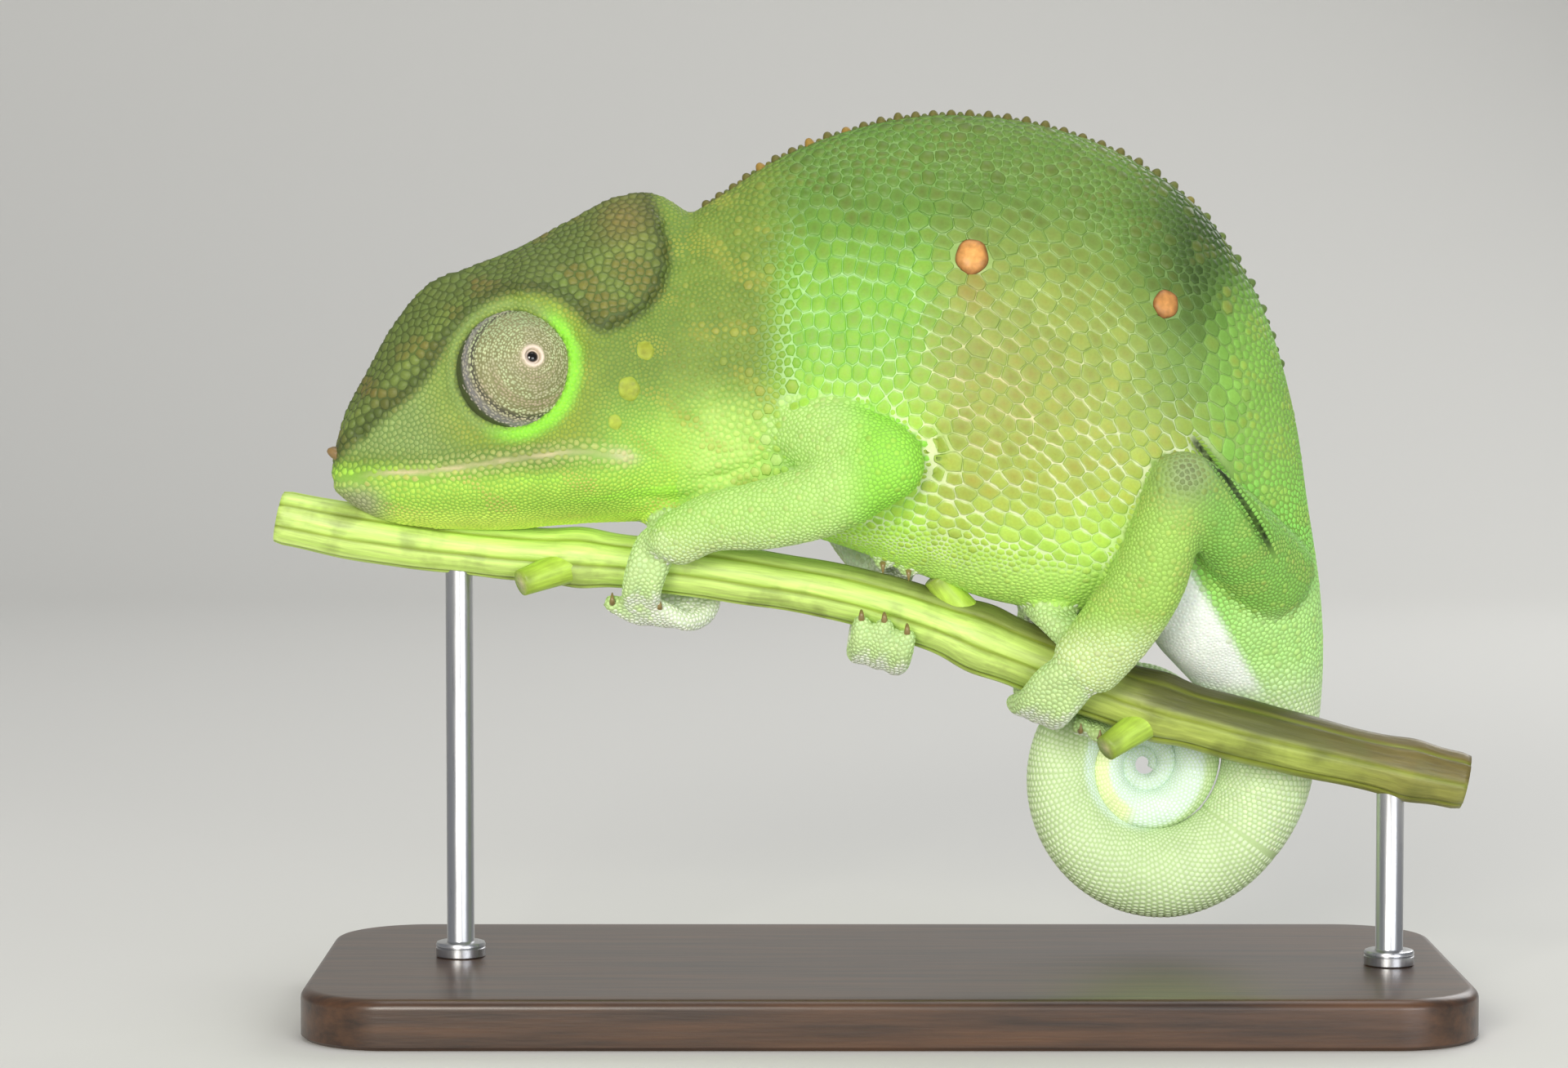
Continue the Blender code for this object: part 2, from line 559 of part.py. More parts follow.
# Limbs. Each row is x, y, z, half width sideways and half width in the side view. Left limbs are near (-Y).
LIMBS = {
    "upper_arm_left": ((-11.0, -6.0, 60.5, 3.2, 4.0), (-5.5, -10.5, 58.8, 3.2, 4.0), (-0.6, -13.4, 56.8, 3.2, 3.8)),
    "forearm_left": ((-0.3, -13.4, 56.6, 3.3, 4.1), (-6.2, -12.0, 53.0, 3.2, 3.9), (-12.0, -10.2, 51.2, 2.9, 3.6),
                     (-18.3, -7.8, 50.0, 2.5, 3.0), (-21.0, -6.5, 48.6, 2.4, 2.9)),
    "upper_arm_right": ((-12.0, 6.0, 60.0, 3.2, 4.0), (-8.0, 10.6, 57.8, 3.2, 4.0), (-4.6, 13.8, 55.8, 3.2, 3.8)),
    "forearm_right": ((-4.5, 13.8, 55.6, 3.3, 4.0), (-4.2, 12.4, 51.6, 3.1, 3.6), (-2.4, 9.8, 47.6, 2.8, 3.1),
                      (-0.4, 7.6, 44.6, 2.5, 2.7)),
    "thigh_left": ((38.6, -3.0, 44.2, 3.8, 5.0), (34.4, -8.6, 49.2, 3.8, 4.3), (29.2, -13.2, 54.0, 3.4, 3.6)),
    "shank_left": ((28.9, -13.4, 54.4, 3.2, 3.4), (27.3, -12.6, 49.4, 3.1, 3.5), (25.6, -11.4, 44.6, 3.1, 3.9),
                   (22.8, -9.9, 40.0, 2.8, 4.0), (20.0, -8.6, 36.4, 2.5, 3.8)),
    "thigh_right": ((38.6, 3.4, 44.2, 3.8, 5.0), (34.8, 9.0, 48.4, 3.8, 4.3), (30.2, 13.4, 52.2, 3.4, 3.6)),
    "shank_right": ((30.0, 13.6, 52.4, 3.2, 3.4), (28.4, 12.8, 47.4, 3.1, 3.5), (25.8, 11.0, 43.0, 3.0, 3.7),
                    (22.6, 8.6, 39.0, 2.6, 3.5), (20.6, 7.0, 36.8, 2.4, 3.2)),
}

# Feet. A bundle is toes fused side by side: the root, then stations round the twig as
# angle (0 is up, negative is the near side), distance from its surface and x, then toe offsets and radii.
FEET = {
    "hand_left_outer": dict(root=(-21.4, -6.6, 48.2), way=((-62, 2.6, -23.0), (-92, 2.3, -24.2), (-122, 2.0, -24.8),
                            (-146, 1.8, -24.9)), toes=(-1.15, 1.15), radii=(2.1, 1.75, 1.3, 1.05)),
    "hand_left_inner": dict(root=(-20.8, -5.0, 49.4), way=((-8, 2.1, -21.6), (42, 2.1, -20.6), (95, 2.3, -19.8),
                            (140, 2.7, -20.4), (180, 2.6, -22.8), (210, 1.9, -25.4)), toes=(-2.4, 0.0, 2.4),
                            radii=(1.9, 1.6, 1.45, 1.15)),
    "hand_right_outer": dict(root=(0.2, 6.4, 45.2), way=((50, 2.1, 0.6), (14, 1.9, 0.8), (-22, 1.6, 0.9)),
                             toes=(-1.3, 1.3), radii=(1.8, 1.6, 1.3, 1.0)),
    "hand_right_inner": dict(root=(0.0, 7.0, 43.6), way=((98, 2.2, -0.2), (142, 2.5, -0.7), (184, 2.7, -0.8),
                             (222, 2.1, -0.4), (244, 1.6, -0.2)), toes=(-2.4, -0.1, 2.2),
                             radii=(1.9, 1.7, 1.5, 1.15)),
    "foot_left_outer": dict(root=(19.4, -8.4, 35.8), way=((-98, 2.7, 17.6), (-130, 2.4, 16.0), (-160, 2.0, 15.2),
                            (-178, 1.8, 15.0)), toes=(-1.9, 0.0, 1.9), radii=(2.2, 1.8, 1.5, 1.2)),
    "foot_left_inner": dict(root=(19.2, -6.8, 38.2), way=((-20, 2.3, 16.6), (22, 2.2, 15.9), (68, 2.1, 15.6),
                            (112, 1.9, 15.4), (146, 1.6, 15.2)), toes=(-1.25, 1.25), radii=(1.8, 1.7, 1.45, 1.15)),
    "foot_right_outer": dict(root=(21.2, 6.4, 36.2), way=((84, 2.4, 21.6), (118, 2.3, 21.6), (154, 2.0, 21.6),
                             (178, 1.7, 21.6)), toes=(-1.9, 0.0, 1.9), radii=(2.1, 1.8, 1.45, 1.15)),
    "foot_right_inner": dict(root=(20.6, 5.6, 38.0), way=((38, 2.1, 20.8), (10, 1.9, 21.2), (-14, 1.6, 21.4)),
                             toes=(-1.25, 1.25), radii=(1.8, 1.6, 1.35, 1.1)),
}


def round_twig(degrees, off, x):
    """A point off the surface of the twig by a distance, at an angle round it, 0 up and positive far."""
    centre, radius = twig_at(x)
    a = math.radians(degrees)
    return centre + np.array([0, math.sin(a), math.cos(a)]) * (radius + off)


def make_bundle(name, root, way, toes, radii):
    """Fuses the toes of one bundle and their claws into one closed body."""
    tubes = []
    for i, offset in enumerate(toes):
        tip_lag = 6.0 * abs(i - (len(toes) - 1) / 2)
        points = [np.array(root) + np.array([offset * 0.35, 0, 0])]
        for j, (degrees, off, x) in enumerate(way):
            spread = 0.55 + 0.45 * (j + 1) / len(way)
            if j == len(way) - 1:
                degrees -= math.copysign(tip_lag, degrees - way[-2][0])
            points.append(round_twig(degrees, off, x + offset * spread))
        sizes = np.interp(np.linspace(0, 3, len(points)), range(4), radii)
        rings = tube_rings(points, np.column_stack([sizes, sizes]), 7, 2.6, across=(1, 0, 0), round_end=True)
        tubes.append(lofted("toe", rings, None, CUTTERS))
        # The claw leaves the tip on the side away from the twig and hooks forward
        degrees, off, x = way[-1]
        turn = math.copysign(1, degrees - way[-2][0])
        degrees -= turn * tip_lag
        place = x + offset
        rise = math.degrees(1 / (twig_at(place)[1] + off))
        claw = [round_twig(degrees + turn * rise * 0.2, off + 0.25, place),
                round_twig(degrees + turn * rise * (radii[-1] + 0.5), off + 0.2, place),
                round_twig(degrees + turn * rise * (radii[-1] + CLAW_LENGTH), off - 0.75, place)]
        rings = tube_rings(claw, [(CLAW_ROOT, CLAW_ROOT), (CLAW_ROOT * 0.9,) * 2, (0.14, 0.14)], 5, 1.4,
                           across=(1, 0, 0))
        tubes.append(lofted("claw", rings, None, CUTTERS))
    first = tubes[0]
    made = first.copy()
    made.data = first.data.copy()
    made.name = name
    made.hide_render = False
    made.display_type = "TEXTURED"
    PARTS.objects.link(made)
    made.data.materials.append(PALE_SKIN)
    bpy.data.objects.remove(first)
    return combine(made, tubes[1:], "UNION")


def make_limbs(body, twig):
    """Upper and lower limbs and the toe bundles, each cut clear of what it grows from."""
    made = {}
    trunk = [body[n] for n in ("neck", "torso_front", "torso_rear", "rump")]
    coil = [body[n] for n in ("tail_3", "tail_4")]
    for name, rows in LIMBS.items():
        rows = np.array(rows)
        upper = name.startswith(("upper_arm", "thigh"))
        rings = tube_rings(rows[:, :3], rows[:, 3:], 12, 2.8, round_start=True, round_end=upper)
        made[name] = lofted(name, rings, SKIN)
    for side in ("left", "right"):
        clear_of(made[f"upper_arm_{side}"], [*trunk, made[f"forearm_{side}"]])
        clear_of(made[f"thigh_{side}"], [*trunk, body["tail_1_root"], made[f"shank_{side}"]])
        clear_of(made[f"forearm_{side}"], [*trunk, twig])
        clear_of(made[f"shank_{side}"], [*trunk, twig])
    for name, sizes in FEET.items():
        side = "left" if "left" in name else "right"
        limb = made[("forearm_" if name.startswith("hand") else "shank_") + side]
        bundle = make_bundle(name, **sizes)
        pair = name.split("_")[0]
        earlier = [made[n] for n in FEET if n in made and n.startswith(pair)]
        made[name] = clear_of(bundle, [limb, twig, *trunk, *coil, *earlier])
    return made


def main():
    stand = make_stand()
    twig = stand["perch_twig"]
    body = make_trunk_and_tail()
    head = make_head()
    clear_of(head["lower_jaw"], [twig])
    clear_of(head["head"], [twig])
    clear_of(body["neck"], [twig])
    for name in ("torso_front", "torso_rear", "rump", "tail_1_root"):
        clear_of(body[name], [twig])
    limbs = make_limbs(body, twig)
    for name in ("head", "lower_jaw"):
        clear_of(head[name], [limbs["hand_left_inner"], limbs["hand_left_outer"]])
    for made in list(CUTTERS.objects):
        bpy.data.objects.remove(made)


main()
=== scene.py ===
"""A life-size two-horned chameleon asleep on a cut green twig, on a plain display stand.

The animal faces -X with its left side to the camera. Sizes are in millimetres and meshes are made in metres.
"""

import math

import bpy
import numpy as np
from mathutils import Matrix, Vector
from mathutils.bvhtree import BVHTree
from mathutils.kdtree import KDTree


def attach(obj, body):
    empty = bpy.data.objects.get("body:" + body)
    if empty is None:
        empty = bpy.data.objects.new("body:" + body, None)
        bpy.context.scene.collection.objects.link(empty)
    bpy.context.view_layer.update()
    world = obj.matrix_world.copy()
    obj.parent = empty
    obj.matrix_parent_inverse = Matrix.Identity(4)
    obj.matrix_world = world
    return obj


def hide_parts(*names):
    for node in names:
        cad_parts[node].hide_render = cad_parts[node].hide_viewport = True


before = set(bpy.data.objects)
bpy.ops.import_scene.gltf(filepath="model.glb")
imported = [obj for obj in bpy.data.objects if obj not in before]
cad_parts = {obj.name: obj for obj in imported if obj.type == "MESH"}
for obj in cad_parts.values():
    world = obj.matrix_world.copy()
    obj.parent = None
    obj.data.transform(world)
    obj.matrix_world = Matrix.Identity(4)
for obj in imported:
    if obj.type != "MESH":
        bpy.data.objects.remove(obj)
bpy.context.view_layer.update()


# Trunk and tail
# The body is one tube of soft skin, deep and narrow over the ribs, that runs on into the coiled tail.
# Each station gives the back and the belly, and the section between them is an egg, fuller below.
MM = 0.001
GAP = 0.3
TRUNK = (  # back x, back z, belly x, belly z, half width, sideways offset, egg shape
    (-19.8, 81.2, -24.5, 49.8, 8.5, 0.0, 0.22),
    (-16.8, 83.0, -20.3, 50.3, 8.8, 0.0, 0.24),
    (-11.2, 86.6, -12.9, 49.6, 9.8, 0.0, 0.26),
    (-2.9, 89.8, -5.4, 47.6, 11.2, 0.0, 0.28),
    (6.2, 91.1, 2.9, 44.6, 12.4, 0.0, 0.28),
    (16.2, 89.9, 10.4, 41.9, 13.0, 0.0, 0.28),
    (25.3, 86.3, 17.0, 40.8, 12.8, 0.0, 0.28),
    (32.8, 80.3, 22.8, 40.5, 11.6, 0.0, 0.26),
    (38.2, 71.4, 25.6, 39.5, 9.8, 0.0, 0.22),
    (41.3, 61.4, 26.8, 38.2, 8.0, 0.0, 0.16),
    (42.9, 51.5, 28.0, 36.6, 6.6, 0.1, 0.1),
    (44.2, 44.0, 29.6, 34.9, 5.7, 1.2, 0.05),
    (45.0, 37.5, 32.3, 31.9, 5.1, 3.8, 0.0),
)
COIL_CENTRE = (26.8, 24.4)
COIL_RADIUS = 12.93
COIL_RATIO = 0.4256
COIL_STRETCH = 1.08
COIL_START, COIL_END, COIL_STEP = -8.0, 1112.0, 16.0
COIL_OFFSET = 7.0
TAIL_FLATNESS = 0.45
TAIL_TIP = 0.25


def smooth_rows(rows, places):
    """Reads a table at places, by the first column, on the cubic whose slope at a row is the weighted mean
    of the slopes on its two sides."""
    rows = np.asarray(rows, float)
    knots, values = rows[:, 0], rows[:, 1:]
    steps = np.diff(knots)
    slopes = np.diff(values, axis=0) / steps[:, None]
    inner = (steps[1:, None] * slopes[:-1] + steps[:-1, None] * slopes[1:]) / (steps[1:] + steps[:-1])[:, None]
    tangents = np.vstack([slopes[:1], inner, slopes[-1:]])
    places = np.clip(np.atleast_1d(np.asarray(places, float)), knots[0], knots[-1])
    i = np.clip(np.searchsorted(knots, places, side="right") - 1, 0, len(steps) - 1)
    u = ((places - knots[i]) / steps[i])[:, None]
    h = steps[i][:, None]
    return (
        (2 * u**3 - 3 * u**2 + 1) * values[i]
        + (u**3 - 2 * u**2 + u) * h * tangents[i]
        + (3 * u**2 - 2 * u**3) * values[i + 1]
        + (u**3 - u**2) * h * tangents[i + 1]
    )


def with_lengths(rows, points):
    """Puts the running length along the points in front of each row."""
    points = np.asarray(points, float)
    run = np.concatenate([[0], np.cumsum(np.linalg.norm(np.diff(points, axis=0), axis=1))])
    return np.column_stack([run, np.asarray(rows, float)])


def coil_row(degrees):
    """One station of the tail's spiral: its radius shrinks by one ratio each turn and the tail fills the
    space between turns, so neighbours just clear each other."""
    turns = degrees / 360
    middle = COIL_RADIUS * COIL_RATIO**turns
    height = middle * 2 * (1 - COIL_RATIO) / (1 + COIL_RATIO) - GAP * 1.5
    if degrees > COIL_END - 90:
        height *= 1 - 0.6 * (degrees - COIL_END + 90) / 90
    height = max(height, TAIL_TIP)
    way = np.array([math.cos(math.radians(degrees)), -COIL_STRETCH * math.sin(math.radians(degrees))])
    back = np.array(COIL_CENTRE) + way * (middle + height / 2)
    belly = np.array(COIL_CENTRE) + way * (middle - height / 2)
    return (*back, *belly, height * TAIL_FLATNESS, COIL_OFFSET, 0.0)


BODY = np.array([*TRUNK, *(coil_row(a) for a in np.arange(COIL_START, COIL_END + 0.1, COIL_STEP))])
BODY = with_lengths(BODY, (BODY[:, 0:2] + BODY[:, 2:4]) / 2)


def body_place(row):
    """The running length at a station, where a fraction lies between two rows."""
    return float(np.interp(row, range(len(BODY)), BODY[:, 0]))


def coil_place(degrees):
    """The running length at an angle of the coil."""
    return body_place(len(TRUNK) + (degrees - COIL_START) / COIL_STEP)


def egg_width(down, egg):
    """Half width, as a share, where down is the cosine of the angle round the section, 1 at the back."""
    sine = np.sqrt(np.clip(1 - down**2, 0, None))
    return sine * (1 - egg * down) / (1 + 0.35 * egg**2)


def body_rings(start, end, columns, spacing, fill=0.0):
    """A grid of rings round the body between two running lengths. A point is the middle of back and belly,
    plus the cosine of the angle towards the back and the egg's width to the side. Past the first few
    millimetres the section grows by fill, which closes the space between the turns of the tail."""
    count = max(3, int(round((end - start) / spacing)) + 1)
    places = np.linspace(start, end, count)
    read = smooth_rows(BODY, places)
    angles = np.linspace(0, 2 * math.pi, columns, endpoint=False)
    back, belly = read[:, None, 0:2], read[:, None, 2:4]
    middle, half = (back + belly) / 2, (back - belly) / 2
    tall = np.linalg.norm(half, axis=2, keepdims=True)
    more = fill * np.clip((places - start) / 7.0 - 0.25, -0.25, 1)[:, None, None]
    half = half * (tall + more) / tall
    flat = middle + np.cos(angles)[None, :, None] * half
    share = egg_width(np.cos(angles)[None, :], read[:, None, 6])
    across = np.sign(np.sin(angles))[None, :] * share * (read[:, None, 4] + more[:, :, 0]) + read[:, None, 5]
    return np.stack([flat[:, :, 0], across, flat[:, :, 1]], axis=2)


# Head
# A casque of bone under thin skin, with a sharp brow crest, a raised plate at the temple and flat cheeks.
# Half a section runs from the chin over lip, cheek and crest to the top.
HEAD = (  # top x, top z, chin x, chin z, half width at lips, cheek and crest, height share of mouth and crest
    (-56.3, 56.3, -56.2, 53.2, 1.3, 1.3, 1.0, 0.35, 0.6),
    (-55.2, 60.6, -55.2, 52.1, 2.4, 2.3, 1.9, 0.25, 0.63),
    (-53.0, 64.9, -53.0, 50.7, 3.7, 3.5, 2.9, 0.28, 0.69),
    (-50.0, 70.2, -50.0, 49.6, 5.0, 4.7, 3.8, 0.26, 0.7),
    (-46.5, 74.2, -46.6, 49.1, 6.3, 5.7, 4.6, 0.25, 0.73),
    (-42.0, 76.0, -42.6, 48.9, 7.5, 6.8, 5.6, 0.26, 0.81),
    (-37.0, 78.0, -38.2, 48.9, 8.5, 7.6, 6.0, 0.265, 0.83),
    (-32.0, 80.7, -33.8, 49.3, 9.3, 8.5, 5.6, 0.25, 0.78),
    (-27.0, 83.1, -29.6, 49.6, 9.6, 9.0, 4.9, 0.225, 0.82),
    (-23.2, 83.2, -26.8, 49.7, 9.2, 8.9, 4.6, 0.22, 0.83),
    (-19.8, 81.2, -24.5, 49.8, 8.0, 8.5, 4.8, 0.22, 0.8),
)
LIP_HEIGHT, LIP_OUT = 0.9, 0.3
CASQUE_PLATE = (-29.2, 75.4, 8.2, 7.2, 0.8)  # x, z, half length, half height, step


def head_rings(count, steps):
    """A grid of rings round the head. At each station a smooth profile of width against height share is
    hung between chin and top, and the temple plate stands out inside an ellipse."""
    table = with_lengths(HEAD, [((r[0] + r[2]) / 2, (r[1] + r[3]) / 2) for r in HEAD])
    shares = np.linspace(0, 1, count) ** 1.15
    read = smooth_rows(table, shares * table[-1, 0])
    places = np.linspace(0, 9, steps)
    rings = []
    for share, row in zip(shares, read):
        top, chin = row[0:2], row[2:4]
        lips, cheek, brow, at_mouth, at_brow = row[4:9]
        lip = min(LIP_HEIGHT / np.linalg.norm(top - chin), at_mouth * 0.3)
        half = np.array([
            (0, 0, 0), (1, 0.05, 0.58 * lips), (2, 0.55 * at_mouth, 0.93 * lips),
            (3, at_mouth - lip, lips), (4, at_mouth, lips + LIP_OUT * min(1, lips / 4)),
            (5, at_mouth + lip, lips), (6, (at_mouth + at_brow) / 2, cheek), (7, at_brow, brow),
            (8, (1 + at_brow) / 2, 0.62 * brow), (9, 1, 0),
        ])
        profile = smooth_rows(half, places)
        up, out = profile[:, 0], np.clip(profile[:, 1], 0, None)
        blend = np.clip((share - 0.78) / 0.22, 0, 1) ** 1.5
        neck = BODY[0, 5] * egg_width(2 * np.clip(up, 0, 1) - 1, BODY[0, 7])
        out = out * (1 - blend) + blend * neck
        flat = chin + np.outer(up, top - chin)
        x, z, long, tall, step = CASQUE_PLATE
        away = np.hypot((flat[:, 0] - x) / long, (flat[:, 1] - z) / tall)
        out = out + step * np.clip((1.08 - away) / 0.16, 0, 1) * np.clip(out / 2, 0, 1) * (1 - blend)
        left = np.column_stack([flat[:, 0], -out, flat[:, 1]])
        right = np.column_stack([flat[:, 0], out, flat[:, 1]])[-2:0:-1]
        rings.append(np.vstack([left, right]))
    return np.array(rings)


# Twig path
# The limbs close round the twig, so its line and thickness come before them.
TWIG = (  # x, y, z, radius
    (-62.0, 2.6, 50.2, 2.75),
    (-53.5, 2.5, 48.5, 2.8),
    (-40.3, 2.2, 46.7, 2.7),
    (-28.6, 1.2, 45.9, 2.75),
    (-15.4, 0.6, 44.4, 2.8),
    (-2.1, 0.0, 42.0, 2.9),
    (5.5, -0.4, 39.6, 3.05),
    (12.9, -0.9, 36.7, 3.35),
    (25.3, -2.0, 31.9, 3.2),
    (37.0, -2.6, 28.6, 3.15),
    (51.0, -3.2, 25.3, 2.9),
    (58.5, -3.5, 23.7, 2.8),
)


def twig_at(x):
    """Centre and radius of the twig at an x."""
    row = smooth_rows(TWIG, [x])[0]
    return np.array([x, row[0], row[1]]), row[2]


def round_twig(degrees, off, x):
    """A point off the surface of the twig by a distance, at an angle round it, 0 up and positive far."""
    centre, radius = twig_at(x)
    a = math.radians(degrees)
    return centre + np.array([0, math.sin(a), math.cos(a)]) * (radius + off)


# Limbs and feet
# Thin limbs end in tongs: two bundles of fused toes that close round the twig from both sides.
# A limb is a tube along a smooth path, and a toe is a thinner one laid round the twig.
LIMBS = {  # x, y, z, half width sideways, half width in the side view
    "upper_arm_left": ((-11.0, -6.0, 60.5, 3.2, 4.0), (-5.5, -10.5, 58.8, 3.2, 4.0), (-0.6, -13.4, 56.8, 3.2, 3.8)),
    "forearm_left": ((-0.3, -13.4, 56.6, 3.3, 4.1), (-6.2, -12.0, 53.0, 3.2, 3.9), (-12.0, -10.2, 51.2, 2.9, 3.6),
                     (-18.3, -7.8, 50.0, 2.5, 3.0), (-21.0, -6.5, 48.6, 2.4, 2.9)),
    "upper_arm_right": ((-12.0, 6.0, 60.0, 3.2, 4.0), (-8.0, 10.6, 57.8, 3.2, 4.0), (-4.6, 13.8, 55.8, 3.2, 3.8)),
    "forearm_right": ((-4.5, 13.8, 55.6, 3.3, 4.0), (-4.2, 12.4, 51.6, 3.1, 3.6), (-2.4, 9.8, 47.6, 2.8, 3.1),
                      (-0.4, 7.6, 44.6, 2.5, 2.7)),
    "thigh_left": ((38.6, -3.0, 44.2, 3.8, 5.0), (34.4, -8.6, 49.2, 3.8, 4.3), (29.2, -13.2, 54.0, 3.4, 3.6)),
    "shank_left": ((28.9, -13.4, 54.4, 3.2, 3.4), (27.3, -12.6, 49.4, 3.1, 3.5), (25.6, -11.4, 44.6, 3.1, 3.9),
                   (22.8, -9.9, 40.0, 2.8, 4.0), (20.0, -8.6, 36.4, 2.5, 3.8)),
    "thigh_right": ((38.6, 3.4, 44.2, 3.8, 5.0), (34.8, 9.0, 48.4, 3.8, 4.3), (30.2, 13.4, 52.2, 3.4, 3.6)),
    "shank_right": ((30.0, 13.6, 52.4, 3.2, 3.4), (28.4, 12.8, 47.4, 3.1, 3.5), (25.8, 11.0, 43.0, 3.0, 3.7),
                    (22.6, 8.6, 39.0, 2.6, 3.5), (20.6, 7.0, 36.8, 2.4, 3.2)),
}
# Root, stations round the twig as angle, distance from its surface and x, toe offsets, and radii
FEET = {
    "hand_left_outer": dict(root=(-21.4, -6.6, 48.2), way=((-62, 2.6, -23.0), (-92, 2.3, -24.2), (-122, 2.0, -24.8),
                            (-146, 1.8, -24.9)), toes=(-1.15, 1.15), radii=(2.1, 1.75, 1.3, 1.05)),
    "hand_left_inner": dict(root=(-20.8, -5.0, 49.4), way=((-8, 2.1, -21.6), (42, 2.1, -20.6), (95, 2.3, -19.8),
                            (140, 2.7, -20.4), (180, 2.6, -22.8), (210, 1.9, -25.4)), toes=(-2.4, 0.0, 2.4),
                            radii=(1.9, 1.6, 1.45, 1.15)),
    "hand_right_outer": dict(root=(0.2, 6.4, 45.2), way=((50, 2.1, 0.6), (14, 1.9, 0.8), (-22, 1.6, 0.9)),
                             toes=(-1.3, 1.3), radii=(1.8, 1.6, 1.3, 1.0)),
    "hand_right_inner": dict(root=(0.0, 7.0, 43.6), way=((98, 2.2, -0.2), (142, 2.5, -0.7), (184, 2.7, -0.8),
                             (222, 2.1, -0.4), (244, 1.6, -0.2)), toes=(-2.4, -0.1, 2.2),
                             radii=(1.9, 1.7, 1.5, 1.15)),
    "foot_left_outer": dict(root=(19.4, -8.4, 35.8), way=((-98, 2.7, 17.6), (-130, 2.4, 16.0), (-160, 2.0, 15.2),
                            (-178, 1.8, 15.0)), toes=(-1.9, 0.0, 1.9), radii=(2.2, 1.8, 1.5, 1.2)),
    "foot_left_inner": dict(root=(19.2, -6.8, 38.2), way=((-20, 2.3, 16.6), (22, 2.2, 15.9), (68, 2.1, 15.6),
                            (112, 1.9, 15.4), (146, 1.6, 15.2)), toes=(-1.25, 1.25), radii=(1.8, 1.7, 1.45, 1.15)),
    "foot_right_outer": dict(root=(21.2, 6.4, 36.2), way=((84, 2.4, 21.6), (118, 2.3, 21.6), (154, 2.0, 21.6),
                             (178, 1.7, 21.6)), toes=(-1.9, 0.0, 1.9), radii=(2.1, 1.8, 1.45, 1.15)),
    "foot_right_inner": dict(root=(20.6, 5.6, 38.0), way=((38, 2.1, 20.8), (10, 1.9, 21.2), (-14, 1.6, 21.4)),
                             toes=(-1.25, 1.25), radii=(1.8, 1.6, 1.35, 1.1)),
}
CLAW_LENGTH, CLAW_ROOT = 1.2, 0.38
CLAW_SHOWN = 0.66  # share of its path that a claw covers


def tube_rings(points, radii, columns, spacing, across=(0, 1, 0), round_start=False, round_end=False):
    """A grid of rings round a smooth path. A point is the centre, plus the cosine of the angle towards across
    and the sine at right angles, each times its radius, and a rounded end follows a quarter circle."""
    table = with_lengths(np.column_stack([points, radii]), points)
    count = max(3, int(round(table[-1, 0] / spacing)) + 1)
    places = np.linspace(0, table[-1, 0], count)
    read = smooth_rows(table, places)
    centres, sizes = read[:, :3], read[:, 3:5]
    tangents = np.gradient(centres, places, axis=0)
    tangents /= np.linalg.norm(tangents, axis=1)[:, None]
    across = np.asarray(across, float)
    side = across - (tangents @ across)[:, None] * tangents
    side /= np.linalg.norm(side, axis=1)[:, None]
    other = np.cross(tangents, side)
    turns = np.radians([78, 62, 46, 30, 15])
    shrink, ahead, pick = [np.ones(count)], [np.zeros(count)], [np.arange(count)]
    if round_start:
        shrink.insert(0, np.cos(turns))
        ahead.insert(0, -sizes[0].mean() * np.sin(turns))
        pick.insert(0, np.zeros(len(turns), int))
    if round_end:
        shrink.append(np.cos(turns[::-1]))
        ahead.append(sizes[-1].mean() * np.sin(turns[::-1]))
        pick.append(np.full(len(turns), count - 1))
    shrink, ahead, pick = (np.concatenate(a) for a in (shrink, ahead, pick))
    angles = np.linspace(0, 2 * math.pi, columns, endpoint=False)
    middle = centres[pick] + tangents[pick] * ahead[:, None]
    return (
        middle[:, None, :]
        + np.cos(angles)[None, :, None] * (side[pick] * (sizes[pick, 0] * shrink)[:, None])[:, None, :]
        + np.sin(angles)[None, :, None] * (other[pick] * (sizes[pick, 1] * shrink)[:, None])[:, None, :]
    )


def toe_paths(root, way, toes, radii):
    """The path and radii of each toe of a bundle, and the three points of its claw. The outer toes of a
    bundle reach a little less far round the twig."""
    for i, offset in enumerate(toes):
        lag = 6.0 * abs(i - (len(toes) - 1) / 2)
        points = [np.array(root) + np.array([offset * 0.35, 0, 0])]
        turn = math.copysign(1, way[-1][0] - way[-2][0])
        for j, (degrees, off, x) in enumerate(way):
            spread = 0.55 + 0.45 * (j + 1) / len(way)
            degrees -= turn * lag * (j == len(way) - 1)
            points.append(round_twig(degrees, off, x + offset * spread))
        sizes = np.interp(np.linspace(0, 3, len(points)), range(4), radii)
        degrees, off, x = way[-1][0] - turn * lag, way[-1][1], way[-1][2] + offset
        rise = math.degrees(1 / (twig_at(x)[1] + off))
        claw = [round_twig(degrees + turn * rise * 0.2, off + 0.25, x),
                round_twig(degrees + turn * rise * (radii[-1] + 0.5), off + 0.2, x),
                round_twig(degrees + turn * rise * (radii[-1] + CLAW_LENGTH), off - 0.75, x)]
        yield points, sizes, claw


